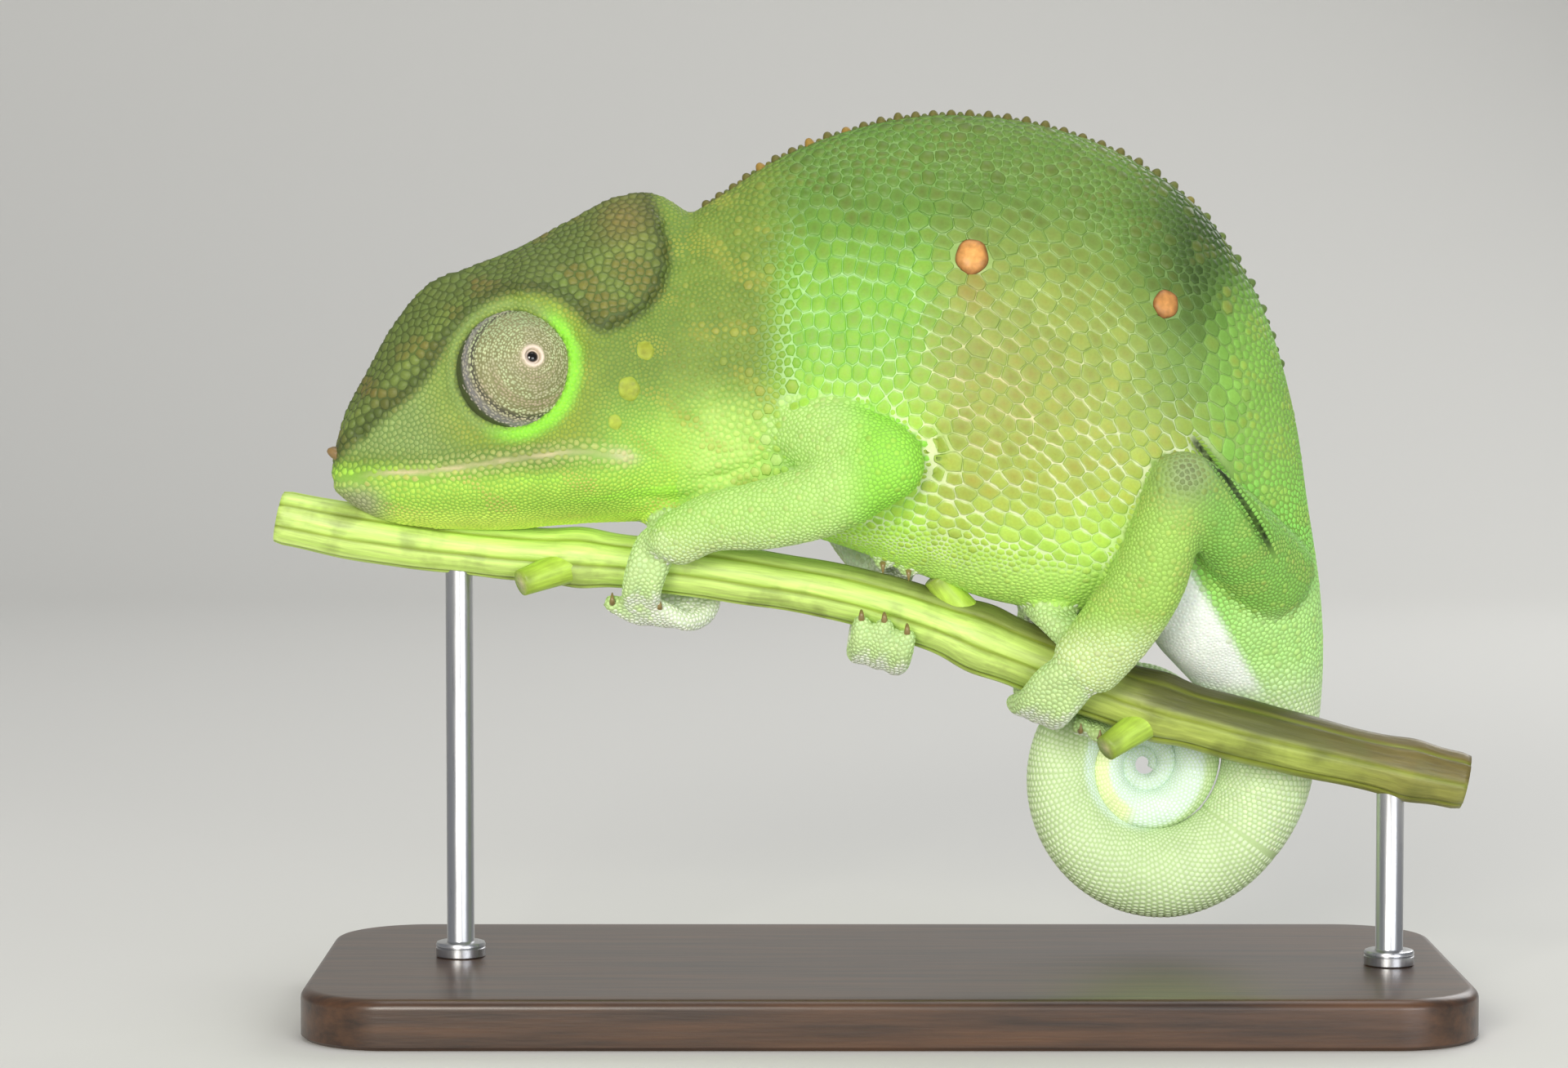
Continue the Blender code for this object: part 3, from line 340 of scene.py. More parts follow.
# Skin
# The forms above are fused into one skin by a voxel remesh, then smoothed and modelled: mouth groove, brow
# crest, casque edge, eye socket and folds are pushed in or out. The tail's turns stay a tube of their own.
VOXEL = 0.45
TAIL_JOIN = 38.0  # degrees of the coil where the fused skin hands over to the tail's tube
TAIL_FILL = 0.38
TAIL_COLUMNS = 56
TOE_SLENDER = 0.9
COAT_DEPTH = 0.12
EYE = (-37.1, 65.2, 5.15)
EYE_RADIUS = 6.25
EYE_TILT = (0.33, 0.3)
NOSTRIL = (-53.0, 58.9, 0.45)  # x, z, size of the pit
MOUTH = (
    (-57.5, 53.7), (-56.3, 53.9), (-52.3, 54.8), (-45.4, 55.4), (-40.3, 56.1),
    (-35.3, 56.9), (-30.3, 57.3), (-26.4, 56.7),
)
CANTHUS = (
    (-55.6, 57.6), (-53.5, 60.6), (-50.2, 64.3), (-46.9, 67.4), (-43.6, 69.9), (-40.3, 71.9),
    (-36.9, 73.0), (-33.2, 72.6), (-30.6, 71.0),
)
CASQUE_EDGE = (
    (-24.4, 83.4), (-23.0, 81.4), (-22.3, 78.9), (-22.0, 76.2), (-22.5, 73.9), (-23.8, 72.2), (-26.0, 70.7),
    (-29.2, 69.3), (-31.6, 68.9),
)
CROWN_EDGE = (  # the dark crown lies above and in front of this line
    (-57.5, 54.6), (-55.6, 56.4), (-52.6, 58.9), (-49.7, 61.3), (-46.4, 64.3), (-43.9, 68.2), (-41.2, 71.2),
    (-37.3, 73.1), (-33.5, 72.8), (-31.0, 71.2), (-29.0, 69.4), (-25.6, 70.3), (-22.7, 73.1), (-21.9, 76.3),
    (-23.0, 81.2), (-24.8, 86.0),
)
FOLDS = (  # line in the side view, depth, width
    (((29.6, 59.4), (33.5, 54.5), (37.4, 48.8), (38.6, 46.6)), 1.2, 0.4),
    (((-22.0, 59.5), (-18.5, 61.2), (-13.9, 64.8)), 0.22, 0.5),
    (((-20.5, 54.0), (-15.0, 55.2), (-9.5, 58.2)), 0.3, 0.55),
    (((-26.5, 52.6), (-21.0, 52.4), (-16.5, 53.6)), 0.18, 0.4),
    (((3.9, 60.5), (4.9, 57.0), (3.7, 53.4)), 0.45, 0.4),
)


def grid_faces(rows, columns):
    """Quads between neighbouring rings, each wrapped round."""
    i, j = np.meshgrid(np.arange(rows - 1), np.arange(columns), indexing="ij")
    k = (j + 1) % columns
    corners = [i * columns + j, i * columns + k, (i + 1) * columns + k, (i + 1) * columns + j]
    return np.stack(corners, axis=2).reshape(-1, 4)


def closed_tube(rings):
    """Points and faces of a grid of rings with a point in the middle of each end. The signed volume tells
    whether the faces point in, and they are then turned round."""
    rows, columns = rings.shape[:2]
    points = np.vstack([rings.reshape(-1, 3), rings[0].mean(0), rings[-1].mean(0)])
    quads = grid_faces(rows, columns)
    j = np.arange(columns)
    k = (j + 1) % columns
    last = (rows - 1) * columns
    start = np.column_stack([k, j, np.full(columns, rows * columns)])
    end = np.column_stack([last + j, last + k, np.full(columns, rows * columns + 1)])
    faces = [*quads.tolist(), *start.tolist(), *end.tolist()]
    a, b, c = (points[quads[:, n]] for n in range(3))
    volume = np.einsum("ij,ij->i", a, np.cross(b, c)).sum()
    return points, faces if volume > 0 else [f[::-1] for f in faces]


def new_piece(name, parts):
    """An object from a list of points and faces in mm, smooth shaded."""
    points, faces, first = [], [], 0
    for part_points, part_faces in parts:
        points.append(part_points)
        faces += [[v + first for v in f] for f in part_faces]
        first += len(part_points)
    mesh = bpy.data.meshes.new(name)
    mesh.from_pydata((np.vstack(points) * MM).tolist(), [], faces)
    mesh.update()
    mesh.shade_smooth()
    made = bpy.data.objects.new(name, mesh)
    bpy.context.scene.collection.objects.link(made)
    return made


def read_points(mesh):
    """The points of a mesh in mm."""
    flat = np.empty(len(mesh.vertices) * 3, np.float32)
    mesh.vertices.foreach_get("co", flat)
    return flat.reshape(-1, 3).astype(float) / MM


def write_points(mesh, points):
    """Puts points in mm back into a mesh."""
    mesh.vertices.foreach_set("co", (points * MM).astype(np.float32).ravel())
    mesh.update()


def read_normals(mesh):
    """The point normals of a mesh."""
    flat = np.empty(len(mesh.vertices) * 3, np.float32)
    mesh.vertex_normals.foreach_get("vector", flat)
    return flat.reshape(-1, 3).astype(float)


def relax(points, edges, rounds, shares=(0.5, -0.52)):
    """Moves each point towards the mean of its neighbours, then back by a little more, which smooths
    without shrinking."""
    counts = np.bincount(edges.ravel(), minlength=len(points))[:, None]
    for _ in range(rounds):
        for share in shares:
            total = np.zeros_like(points)
            for n in range(3):
                total[:, n] = (np.bincount(edges[:, 0], points[edges[:, 1], n], len(points))
                               + np.bincount(edges[:, 1], points[edges[:, 0], n], len(points)))
            points = points + share * (total / np.maximum(counts, 1) - points)
    return points


def ease(value):
    """0 below 0, 1 above 1 and a smooth step between."""
    value = np.clip(value, 0, 1)
    return value * value * (3 - 2 * value)


def bump(distance, width):
    """A bell of height 1 that falls to almost nothing at twice its width."""
    return np.exp(-(distance / width) ** 2)


def from_line(points, line):
    """Distance in the side view from points to a smooth line, the share of its length, and the distance
    with a sign, which is positive on the left of the line's direction."""
    line = np.asarray(line, float)
    table = with_lengths(line, line)
    fine = smooth_rows(table, np.linspace(0, table[-1, 0], 120))
    ways = np.gradient(fine, axis=0)
    ways /= np.linalg.norm(ways, axis=1)[:, None]
    distance = np.full(len(points), 1e9)
    nearest = np.zeros(len(points), int)
    for i, place in enumerate(fine):
        away = np.hypot(points[:, 0] - place[0], points[:, 2] - place[1])
        near = away < distance
        distance[near] = away[near]
        nearest[near] = i
    offset = points[:, [0, 2]] - fine[nearest]
    way = ways[nearest]
    signed = way[:, 0] * offset[:, 1] - way[:, 1] * offset[:, 0]
    return distance, nearest / (len(fine) - 1), signed


def gaze(side):
    """The way an eye looks: outward on its side, leaning a little back and up."""
    way = np.array([EYE_TILT[0], side, EYE_TILT[1]])
    return way / np.linalg.norm(way)


def from_ball(points, side):
    """Distance of points from the middle of an eye turret."""
    return np.linalg.norm(points - (EYE[0], side * EYE[2], EYE[1]), axis=1)


def eye_polar(points, side):
    """Distance of points from an eye's axis, distance along it, and the angle round it, 0 to the rear."""
    axis = gaze(side)
    offset = points - np.array([EYE[0], side * EYE[2], EYE[1]])
    along = offset @ axis
    flat = offset - along[:, None] * axis
    up = np.array([0, 0, 1]) - axis[2] * axis
    up /= np.linalg.norm(up)
    rear = np.array([1, 0, 0]) - axis[0] * axis
    rear /= np.linalg.norm(rear)
    return np.linalg.norm(flat, axis=1), along, np.degrees(np.arctan2(flat @ up, flat @ rear))


forms = {"trunk": body_rings(0.0, coil_place(TAIL_JOIN), 96, 0.9), "head": head_rings(84, 61)}
for limb, rows in LIMBS.items():
    rows = np.array(rows)
    forms[limb] = tube_rings(rows[:, :3], rows[:, 3:], 32, 0.8, round_start=True, round_end=True)
claws = []
for foot, sizes in FEET.items():
    for i, (path, radii, claw) in enumerate(toe_paths(**sizes)):
        slender = np.column_stack([radii, radii]) * TOE_SLENDER
        forms[f"{foot}_{i}"] = tube_rings(
            path, slender, 20, 0.5, across=(1, 0, 0), round_start=True, round_end=True)
        claws.append(claw)
form_names = list(forms)
HEAD_FORM = form_names.index("head")
TAIL_FORM = len(form_names)

skin = new_piece("skin", [closed_tube(rings) for rings in forms.values()])
remesh = skin.modifiers.new("fuse", "REMESH")
remesh.mode = "VOXEL"
remesh.voxel_size = VOXEL * MM
bpy.context.view_layer.update()
whole = bpy.data.meshes.new_from_object(skin.evaluated_get(bpy.context.evaluated_depsgraph_get()))
skin.modifiers.clear()
skin.data = whole
whole.name = "skin"
whole.shade_smooth()
edges = np.empty(len(whole.edges) * 2, np.int32)
whole.edges.foreach_get("vertices", edges)
edges = edges.reshape(-1, 2)
skin_points = relax(read_points(whole), edges, 6)
write_points(whole, skin_points)
normals = read_normals(whole)

# Each place of the skin belongs to the form whose points lie nearest
form_points = [rings.reshape(-1, 3) for rings in forms.values()]
form_of = np.repeat(np.arange(len(forms)), [len(p) for p in form_points])
form_tree = KDTree(len(form_of))
for i, p in enumerate(np.vstack(form_points).tolist()):
    form_tree.insert(p, i)
form_tree.balance()


def forms_near(points):
    """The number of the form nearest to each point."""
    return form_of[[form_tree.find(p)[1] for p in points.tolist()]]


skin_form = forms_near(skin_points)
on_head = (skin_form == HEAD_FORM) | ((skin_form == 0) & (skin_points[:, 0] < -17))
x, y, z = skin_points.T
push = np.full(len(skin_points), -COAT_DEPTH)
mouth_away, mouth_share, _ = from_line(skin_points, MOUTH)
lips = on_head * ease((1.0 - mouth_share) * 12) * ease((np.abs(y) - 0.1) * 2)
push -= 0.24 * bump(mouth_away, 0.28) * lips
push += 0.1 * bump(mouth_away - 0.85, 0.45) * lips
away, share, _ = from_line(skin_points, CANTHUS)
ridge = on_head * ease(np.abs(y) * 0.6 - 0.4) * ease((1 - share) * 5)
push += 0.45 * bump(away, 1.1) * ridge
away, share, signed = from_line(skin_points, CASQUE_EDGE)
edge = on_head * ease(np.abs(y) * 0.6 - 0.9) * ease((1 - share) * 4) * (away < 4)
scallop = 0.25 * np.cos(share * 2 * math.pi * 9)
push += 0.34 * edge * bump(signed + 0.75 + scallop, 0.6)
push -= 0.4 * edge * bump(signed - 0.45 + scallop, 0.55)
push -= 0.12 * edge * bump(signed - 1.8, 1.4)
for line, depth, width in FOLDS:
    away, share, _ = from_line(skin_points, line)
    fade = ease(share * 4) * ease((1 - share) * 4) * ease(np.abs(normals[:, 1]) * 3 - 0.6)
    fade = fade * ((y < 0) | (depth < 1))  # the deep one, over the thigh, is on the left only
    push -= depth * bump(away, width) * fade
    push += depth * 0.25 * bump(away - width * 2.2, width) * fade
push -= 0.6 * on_head * bump(np.hypot(x - NOSTRIL[0], z - NOSTRIL[1]), NOSTRIL[2]) * (np.abs(y) > 1.5)
for side in (-1, 1):
    away = from_ball(skin_points, side) - EYE_RADIUS
    this_side = (y * side > 1.5) & on_head
    push += this_side * (0.2 * bump(away - 0.6, 0.35) - 0.12 * bump(away - 1.3, 0.35))
    push -= this_side * 1.9 * ease((-0.55 - away) * 1.6)
skin_points = relax(skin_points + push[:, None] * normals, edges, 1)
write_points(whole, skin_points)
normals = read_normals(whole)


# Colours of skin and scales
# Green with olive scale centres, browner on the casque and the back, cream between the flank's scales,
# and white on palms and inner limbs. Each is a smooth function of place, so coat and skin match.
def linear(code):
    """An sRGB hex colour as linear numbers."""
    srgb = np.array([int(code[i:i + 2], 16) for i in (1, 3, 5)]) / 255
    return np.where(srgb <= 0.04045, srgb / 12.92, ((srgb + 0.055) / 1.055) ** 2.4)


def waves(points, size, seed):
    """Soft blotches from -1 to 1: the mean of five sine waves in random directions."""
    draw = np.random.default_rng(seed)
    total = np.zeros(len(points))
    for _ in range(5):
        way = draw.normal(size=3)
        way /= np.linalg.norm(way)
        total += np.sin(points @ way * (2 * math.pi / (size * draw.uniform(0.7, 1.4))) + draw.uniform(0, 6.28))
    return total / 2.6


def laid(coat, share, *codes):
    """Lays a paint of three hex colours, for scale centre, scale rim and the lines between, over the coat
    by a share for each point."""
    share = np.clip(share, 0, 1)[:, None]
    for i, code in enumerate(codes):
        if code:
            coat[i] = coat[i] + (linear(code) - coat[i]) * share


def body_part(points, form):
    """Which points belong to the head, the limbs, the feet and the tail."""
    names = np.array(form_names + ["tail"])[form]
    head = (names == "head") | ((names == "trunk") & (points[:, 0] < -21))
    limb = np.zeros(len(points), bool)
    for start in ("upper", "fore", "thigh", "shank"):
        limb |= np.char.startswith(names, start)
    foot = np.char.startswith(names, "hand") | np.char.startswith(names, "foot")
    return head, limb, foot, names == "tail"


def vent_share(points, form):
    """1 on the smooth white skin between the hind legs and the tail's root, 0 elsewhere."""
    x, z = points[:, 0], points[:, 2]
    near = ease((48 - z) / 3) * ease((z - 31) / 3) * ease((x - 24.5) / 2)
    return (form == 0) * near * ease((30.4 - x + 0.63 * (45 - z)) / 1.6 + 0.5)


def line_play(points):
    """Where the pale lines of the flank are bold, from 0 to 1: they come and go along the rows."""
    return ease(0.55 + 0.8 * waves(points, 3.4, 77))


def coat_colours(points, normals, form):
    """Centre, rim and line colours of the coat at points."""
    x, y, z = points.T
    head, limb, foot, tail = body_part(points, form)
    trunk = ~(head | limb | foot | tail)
    blotch, speck = waves(points, 13, 3), waves(points, 4.5, 8)
    coat = [np.zeros((len(points), 3)) for _ in range(3)]
    everywhere = np.ones(len(points))

    # Flank: bright green in front, olive with cream lines in the middle, lime at the belly
    laid(coat, everywhere, "#8E9C48", "#8CA850", "#BFD590")
    laid(coat, ease((7 - x + 0.06 * (z - 60)) / 6), "#84B23A", "#7DC040", "#B8E49C")
    laid(coat, ease((8 - x) / 5) * ease((69 - z) / 12), "#AEE050", "#AEE85A", "#E6FCC8")
    low = ease((72 - z) / 20) * ease((x - 1) / 5) * ease((36 - x) / 8)
    laid(coat, low, "#ABB94E", "#A9C45E", "#E6EEC6")
    laid(coat, low * ease((speck - 0.1) * 2) * 0.5, "#B2A448", None, None)
    cream = bump(np.hypot((x - 11) / 1.7, (z - 63) / 1.5), 5.5)
    laid(coat, cream * 0.75, "#958F42", None, "#E9D6A8")
    laid(coat, bump(np.hypot(x - 8.4, (z - 73.2) / 1.5), 1.1) * 0.55, "#A87838", "#A08840", "#C09A68")
    belly = ease((53 - z + 0.1 * x) / 8) * ease((33 - x) / 6)
    laid(coat, belly * 0.8, "#B4E256", "#BAEC68", "#E0F4B8")
    laid(coat, trunk * ease((47.5 - z) / 3) * ease((33 - x) / 6), "#BEE870", "#C0EC78", "#B6E070")

    # Back and rump: dark green with olive rosettes above, fine and clear green behind
    laid(coat, ease((x - 22) / 7) * ease((z - 56) / 10), "#728E42", "#76984C", "#90B06C")
    back = ease((z - 72 + 0.6 * np.clip(x - 17, 0, 30)) / 12)
    laid(coat, back * 0.9, "#5A7434", "#638C3C", "#7A9C56")
    laid(coat, back * ease((x - 22) / 10), "#364A20", "#3C5626", "#516B39")
    laid(coat, back * ease((speck - 0.2) * 2) * 0.5, "#6C7234", None, None)
    rear = ease((x - 29 + 0.12 * (66 - z)) / 7) * ease((80 - z) / 12)
    laid(coat, rear * 0.9, "#84B64C", "#8AC456", "#84AC52")
    laid(coat, rear * ease((60 - z) / 12), "#8ED85C", "#9AE26C", "#7CA846")
    laid(coat, rear * ease((speck - 0.3) * 3) * 0.4, "#A9A549", None, None)
    laid(coat, trunk * ease((50 - z) / 9) * ease((x - 31) / 6), "#B6EA88", "#C2F298", "#A2CE74")
    laid(coat, trunk * ease((37 - z) / 8) * ease((x - 29) / 4), "#E2F4CA", "#D8EEBA", "#C2DC9E")

    # Neck, throat, cheeks and jaw: pale scales on a darker green ground, brightest along the throat
    neck = ease((-8 - x) / 6) * ~(limb | foot | tail)
    laid(coat, neck, "#80933D", "#7C9641", "#6C893B")
    throat = neck * ease((66 - z + 0.3 * blotch) / 10) * ease((x + 36) / 12)
    laid(coat, throat, "#B0D65A", "#AEDC62", "#94C852")
    laid(coat, throat * ease((x + 22) / 5), "#C4E078", "#C0E47A", "#AAD66A")
    laid(coat, head * ease((-27 - x) / 5) * ease((z - 57) / 2), "#93A53A", "#91A840", "#7C9638")
    laid(coat, neck * ease((speck - 0.35) * 2.5) * 0.4, "#A8A443", "#A2AA4A", None)
    below = head * ease((56.8 - z) / 3)
    laid(coat, below * 0.9, "#B8DC54", "#B2E05C", "#96C84C")
    laid(coat, below * ease((waves(points * (0.4, 1, 2.2), 7, 21) - 0.15) * 2) * 0.7, "#A8E84A", "#A6E64E", None)
    laid(coat, below * ease((speck - 0.5) * 3) * 0.6, "#C6A862", None, None)
    # Partly painted light: the jaw's underside is pale green, painted brighter still to lift the shade under the head
    laid(coat, below * ease((52 - z) / 2.5), "#E4FF6C", "#E2FF6E", "#CCF466")
    laid(coat, head * ease((-49 - x) / 4) * ease((55 - z) / 3), "#A2A87C", "#A6AC82", "#8A926A")

    # Snout and crown: olive green below the crest line, dark olive and brown above it; the dark olive is partly the
    # crown's own colour and partly painted shade on the upward faces
    snout = head * ease((-40 - x + 0.25 * (60 - z)) / 8) * ease((z - 55.5) / 2.5)
    laid(coat, snout, "#8FA45C", "#93AB64", "#76904E")
    signed = from_line(points, CROWN_EDGE)[2]
    crown = head * ease(signed / 1.7 + 0.5)
    laid(coat, crown, "#67763A", "#64763C", "#566434")
    laid(coat, crown * ease((blotch + 0.2) * 1.5), "#788A40", "#6F8242", "#5E7038")
    laid(coat, crown * ease((speck + blotch * 0.4 - 0.1) * 1.6) * 0.4, "#86602E", "#77663A", None)
    # Painted shade: a darker band just above the crest line, under the brow
    laid(coat, crown * bump(signed - 0.6, 0.8) * 0.8, "#4C5A2C", "#4C5A2C", "#3E4A26")
    laid(coat, head * bump(np.hypot(x + 26.5, z - 80.5), 2.6) * 0.55, "#927645", "#82753F", "#766C40")

    # Lips, sockets and the round olive spots behind the eye
    away, share, _ = from_line(points, MOUTH)
    laid(coat, head * bump(away - 0.75, 0.5) * ease((share - 0.2) * 5) * 0.45, "#C9C987", "#BFC87C", None)
    mouth_end = bump(np.hypot((x + 26.4) / 2.1, z - 56.8 + 0.2 * (x + 26)), 0.65)
    laid(coat, head * mouth_end * 0.7, "#E2D0AC", "#D8CCA0", "#E0D4B0")
    lip_line = head * bump(away, 0.3) * ease((1.0 - share) * 10) * ease((share - 0.12) * 8)
    laid(coat, lip_line * (0.6 + 0.35 * speck), None, None, "#DCCBA0")
    for side in (-1, 1):
        from_eye, angle = from_ball(points, side), eye_polar(points, side)[2]
        this_side = head * (y * side > 0)
        ring = this_side * bump(from_eye - EYE_RADIUS - 0.6, 0.7)
        laid(coat, ring * 0.6, "#8FA860", "#8FA963", "#86A05C")
        laid(coat, ring * ease((np.cos(np.radians(angle + 22)) + 0.3) * 1.3), "#94E63C", "#98E942", "#90DE40")
        # Painted shade: dark olive where the skin meets the eye turret
        laid(coat, this_side * ease((EYE_RADIUS + 0.15 - from_eye) * 5) * 0.7, "#46542A", "#46542A", "#333E1E")

    # Limbs: green at elbow and thigh, paler towards the feet, and white where they face the body
    fore = limb & (x < 12)
    hind = limb & (x >= 12)
    laid(coat, fore * everywhere, "#B6DC7C", "#C0E68E", "#A4CE6A")
    laid(coat, fore * ease((x + 6) / 5), "#98DC4A", "#A2E858", "#8AC648")
    laid(coat, hind * everywhere, "#A6CE60", "#B2DA72", "#96BC56")
    laid(coat, hind * ease((x - 28.5) / 4), "#84BC54", "#90CA62", "#78A448")
    laid(coat, hind * ease((speck - 0.1) * 2) * 0.4, "#B0AE58", None, None)
    knee = limb * bump(np.hypot(x - 29, z - 55.6), 3.1)
    laid(coat, knee * 0.9, "#6A7250", "#768458", "#94A676")
    low_limb = limb * ease(np.where(fore, 51 - z, 42 - z) / 5)
    laid(coat, low_limb, "#CFE6A6", "#DAEEBC", "#BCD084")
    laid(coat, foot * everywhere, "#C8E69C", "#D2EEAE", "#B4CE88")
    outer = np.where(y < 0, -normals[:, 1], normals[:, 1])
    laid(coat, limb * ease((-0.15 - outer) * 2.5), "#E6F6E0", "#E8F6E2", "#E4F0DC")
    sole = foot * (ease((-normals[:, 2] - 0.55) * 3) + (x < 5) * ease((y + 1) / 3) * 0.75)
    sole = np.maximum(sole, foot * (x > -23.8) * (x < -10) * ease((43.5 - z) / 1.5))
    laid(coat, sole, "#F2F8E8", "#EEF6E2", "#D6E4C0")

    # Vent and belly root: smooth white skin in front of the tail
    laid(coat, vent_share(points, form), "#F6FCF4", "#F6FCF4", "#F0F8EE")
    # Painted shade: a near-black line along the fold behind the left thigh
    away, share, _ = from_line(points, FOLDS[0][0])
    painted_fold_shadow = (trunk | hind) * bump(away, 0.5) * ease(share * 9) * ease((1 - share) * 6)
    laid(coat, painted_fold_shadow * ease((-y - 2.5) / 2), None, None, "#141C0C")

    # Tail: pale green, whiter towards the tip, with a yellow ridge where a turn stands up; the white is partly painted
    # light and the inner turns' outer sides carry painted shade
    laid(coat, tail * everywhere, "#E2F4CA", "#D8EEBA", "#C2DC9E")
    radius = np.hypot(x - COIL_CENTRE[0], (z - COIL_CENTRE[1]) / COIL_STRETCH)
    turn = np.degrees(np.arctan2(-(z - COIL_CENTRE[1]), x - COIL_CENTRE[0])) % 360
    # Partly painted light: the inner turns are partly their own pale colour and partly painted near-white to lift the
    # shade between the turns
    inner = tail * ease((6.6 - radius) / 0.8)
    laid(coat, inner, "#F0FFFC", "#ECFFF4", "#DAF0D6")
    # Painted shade: a darker band on each inner turn's outer side, where it meets the next turn
    out = (normals[:, 0] * (x - COIL_CENTRE[0]) + normals[:, 2] * (z - COIL_CENTRE[1])) / np.maximum(radius, 0.5)
    edge = tail * ease((out - 0.72) * 4) * ease((7.2 - radius) / 0.6)
    laid(coat, edge * 0.5, "#B4CC94", "#B4CC94", "#94AE7C")
    strip = tail * ease((out + 0.15) * 3) * ease((6.3 - radius) / 0.4) * ease((radius - 2.9) / 0.6)
    laid(coat, strip * ease((np.cos(np.radians(turn - 160)) - 0.45) * 4), "#F2FAC2", "#FAFEDC", "#E0ECAE")
    return coat


def set_tint(mesh, colours):
    """Keeps a colour for each point of a mesh, which the material reads as its ground colour."""
    layer = mesh.color_attributes.new("tint", "FLOAT_COLOR", "POINT")
    layer.data.foreach_set("color", np.column_stack([colours, np.ones(len(colours))]).astype(np.float32).ravel())


# Atlas: every form of the body has six tiles in the unit square, one for each way its skin can face, and a
# place goes into its tile by its two other coordinates. Skin and scales use the same tiles.
ATLAS_PARTS = ("head", "trunk", "tail", "upper_arm_left", "upper_arm_right", "forearm_left", "forearm_right",
               "thigh_left", "thigh_right", "shank_left", "shank_right", "hand_left", "hand_right", "foot_left",
               "foot_right")
ATLAS_SIDE = 10


def atlas_part(form):
    """The number of the atlas part that each form number belongs to."""
    starts = [
        max(i for i, part in enumerate(ATLAS_PARTS) if name.startswith(part)) for name in form_names + ["tail"]
    ]
    return np.array(starts)[form]


def atlas(points, normals, form):
    """Unwraps places by their form and the axis they face, each into its own tile."""
    part = atlas_part(form)
    axis = np.abs(normals).argmax(1)
    facing = axis * 2 + (normals[np.arange(len(points)), axis] > 0)
    tile = part * 6 + facing
    low, span = atlas_low[part], atlas_span[part]
    across = np.where(axis == 0, points[:, 1] - low[:, 1], points[:, 0] - low[:, 0]) / span
    up = np.where(axis == 2, points[:, 1] - low[:, 1], points[:, 2] - low[:, 2]) / span
    inset = 0.04
    uv = np.clip(np.column_stack([across, up]), 0, 1) * (1 - 2 * inset) + inset
    return (uv + np.column_stack([tile % ATLAS_SIDE, tile // ATLAS_SIDE])) / ATLAS_SIDE


def set_uv(mesh, uv):
    """Keeps an unwrap, one place for each point of a mesh, as the map named OFBake."""
    corners = np.empty(len(mesh.loops), np.int32)
    mesh.loops.foreach_get("vertex_index", corners)
    layer = mesh.uv_layers.new(name="OFBake")
    layer.data.foreach_set("uv", uv[corners].astype(np.float32).ravel())


# Scaly skin material
# Living skin: matt, faintly moist, with a fine grain over each scale. The ground colour comes with the mesh.
def add(tree, kind, links=None, **settings):
    """Adds a node, sets what is named on it, and links its sockets or fills them."""
    node = tree.nodes.new(kind)
    for key, value in settings.items():
        setattr(node, key, value)
    for socket, source in (links or {}).items():
        if isinstance(source, bpy.types.NodeSocket):
            tree.links.new(source, node.inputs[socket])
        else:
            node.inputs[socket].default_value = source
    return node


def new_material(name):
    """An empty material with its output node."""
    made = bpy.data.materials.new(name)
    made.use_nodes = True
    tree = made.node_tree
    tree.nodes.clear()
    return made, tree, tree.nodes.new("ShaderNodeOutputMaterial")


def tinted_skin(name, roughness, grain_mm, grain_depth, variation):
    """Skin whose ground colour is the mesh's tint, made lighter and darker by two noises, with a fine bump."""
    made, tree, output = new_material(name)
    tint = add(tree, "ShaderNodeVertexColor", layer_name="tint")
    place = add(tree, "ShaderNodeTexCoord").outputs["Object"]
    coarse = add(tree, "ShaderNodeTexNoise", {"Vector": place, "Scale": 1 / (2.4 * MM), "Detail": 3.0})
    fine = add(tree, "ShaderNodeTexNoise", {"Vector": place, "Scale": 1 / (grain_mm * MM), "Detail": 2.0})
    both = add(tree, "ShaderNodeMath", {0: coarse.outputs["Fac"], 1: fine.outputs["Fac"]}, operation="ADD")
    bright = add(tree, "ShaderNodeMapRange", {"Value": both.outputs[0], "From Min": 0.6, "From Max": 1.4,
                                              "To Min": 1 - variation, "To Max": 1 + variation})
    ground = add(tree, "ShaderNodeMix", {0: 1.0, 6: tint.outputs["Color"], 7: bright.outputs[0]},
                 data_type="RGBA", blend_type="MULTIPLY")
    rough = add(tree, "ShaderNodeMapRange", {"Value": fine.outputs["Fac"], "From Min": 0.3, "From Max": 0.7,
                                             "To Min": roughness - 0.08, "To Max": roughness + 0.08})
    relief = add(tree, "ShaderNodeBump", {"Height": fine.outputs["Fac"], "Strength": 0.5,
                                          "Distance": grain_depth * MM})
    shader = add(tree, "ShaderNodeBsdfPrincipled", {
        "Base Color": ground.outputs[2], "Roughness": rough.outputs[0], "Normal": relief.outputs[0], "IOR": 1.42,
        "Specular IOR Level": 0.36,
    })
    tree.links.new(shader.outputs[0], output.inputs["Surface"])
    return made


scaly_skin = tinted_skin("scaly_skin", 0.45, 0.28, 0.05, 0.1)
soft_skin = tinted_skin("soft_skin_between_scales", 0.55, 0.2, 0.04, 0.08)

tail_points, tail_faces = closed_tube(
    body_rings(coil_place(TAIL_JOIN - 4), coil_place(COIL_END), TAIL_COLUMNS, 0.4, fill=TAIL_FILL))
tail = new_piece("tail", [(tail_points, tail_faces)])
tail_normals = read_normals(tail.data)
tail_points = tail_points - COAT_DEPTH * 0.5 * tail_normals
write_points(tail.data, tail_points)
tail_form = np.full(len(tail_points), TAIL_FORM)

all_points = np.vstack([skin_points, tail_points])
all_parts = atlas_part(np.concatenate([skin_form, tail_form]))
atlas_low = np.array([all_points[all_parts == i].min(0) for i in range(len(ATLAS_PARTS))])
atlas_span = np.array([np.ptp(all_points[all_parts == i], axis=0).max() for i in range(len(ATLAS_PARTS))])

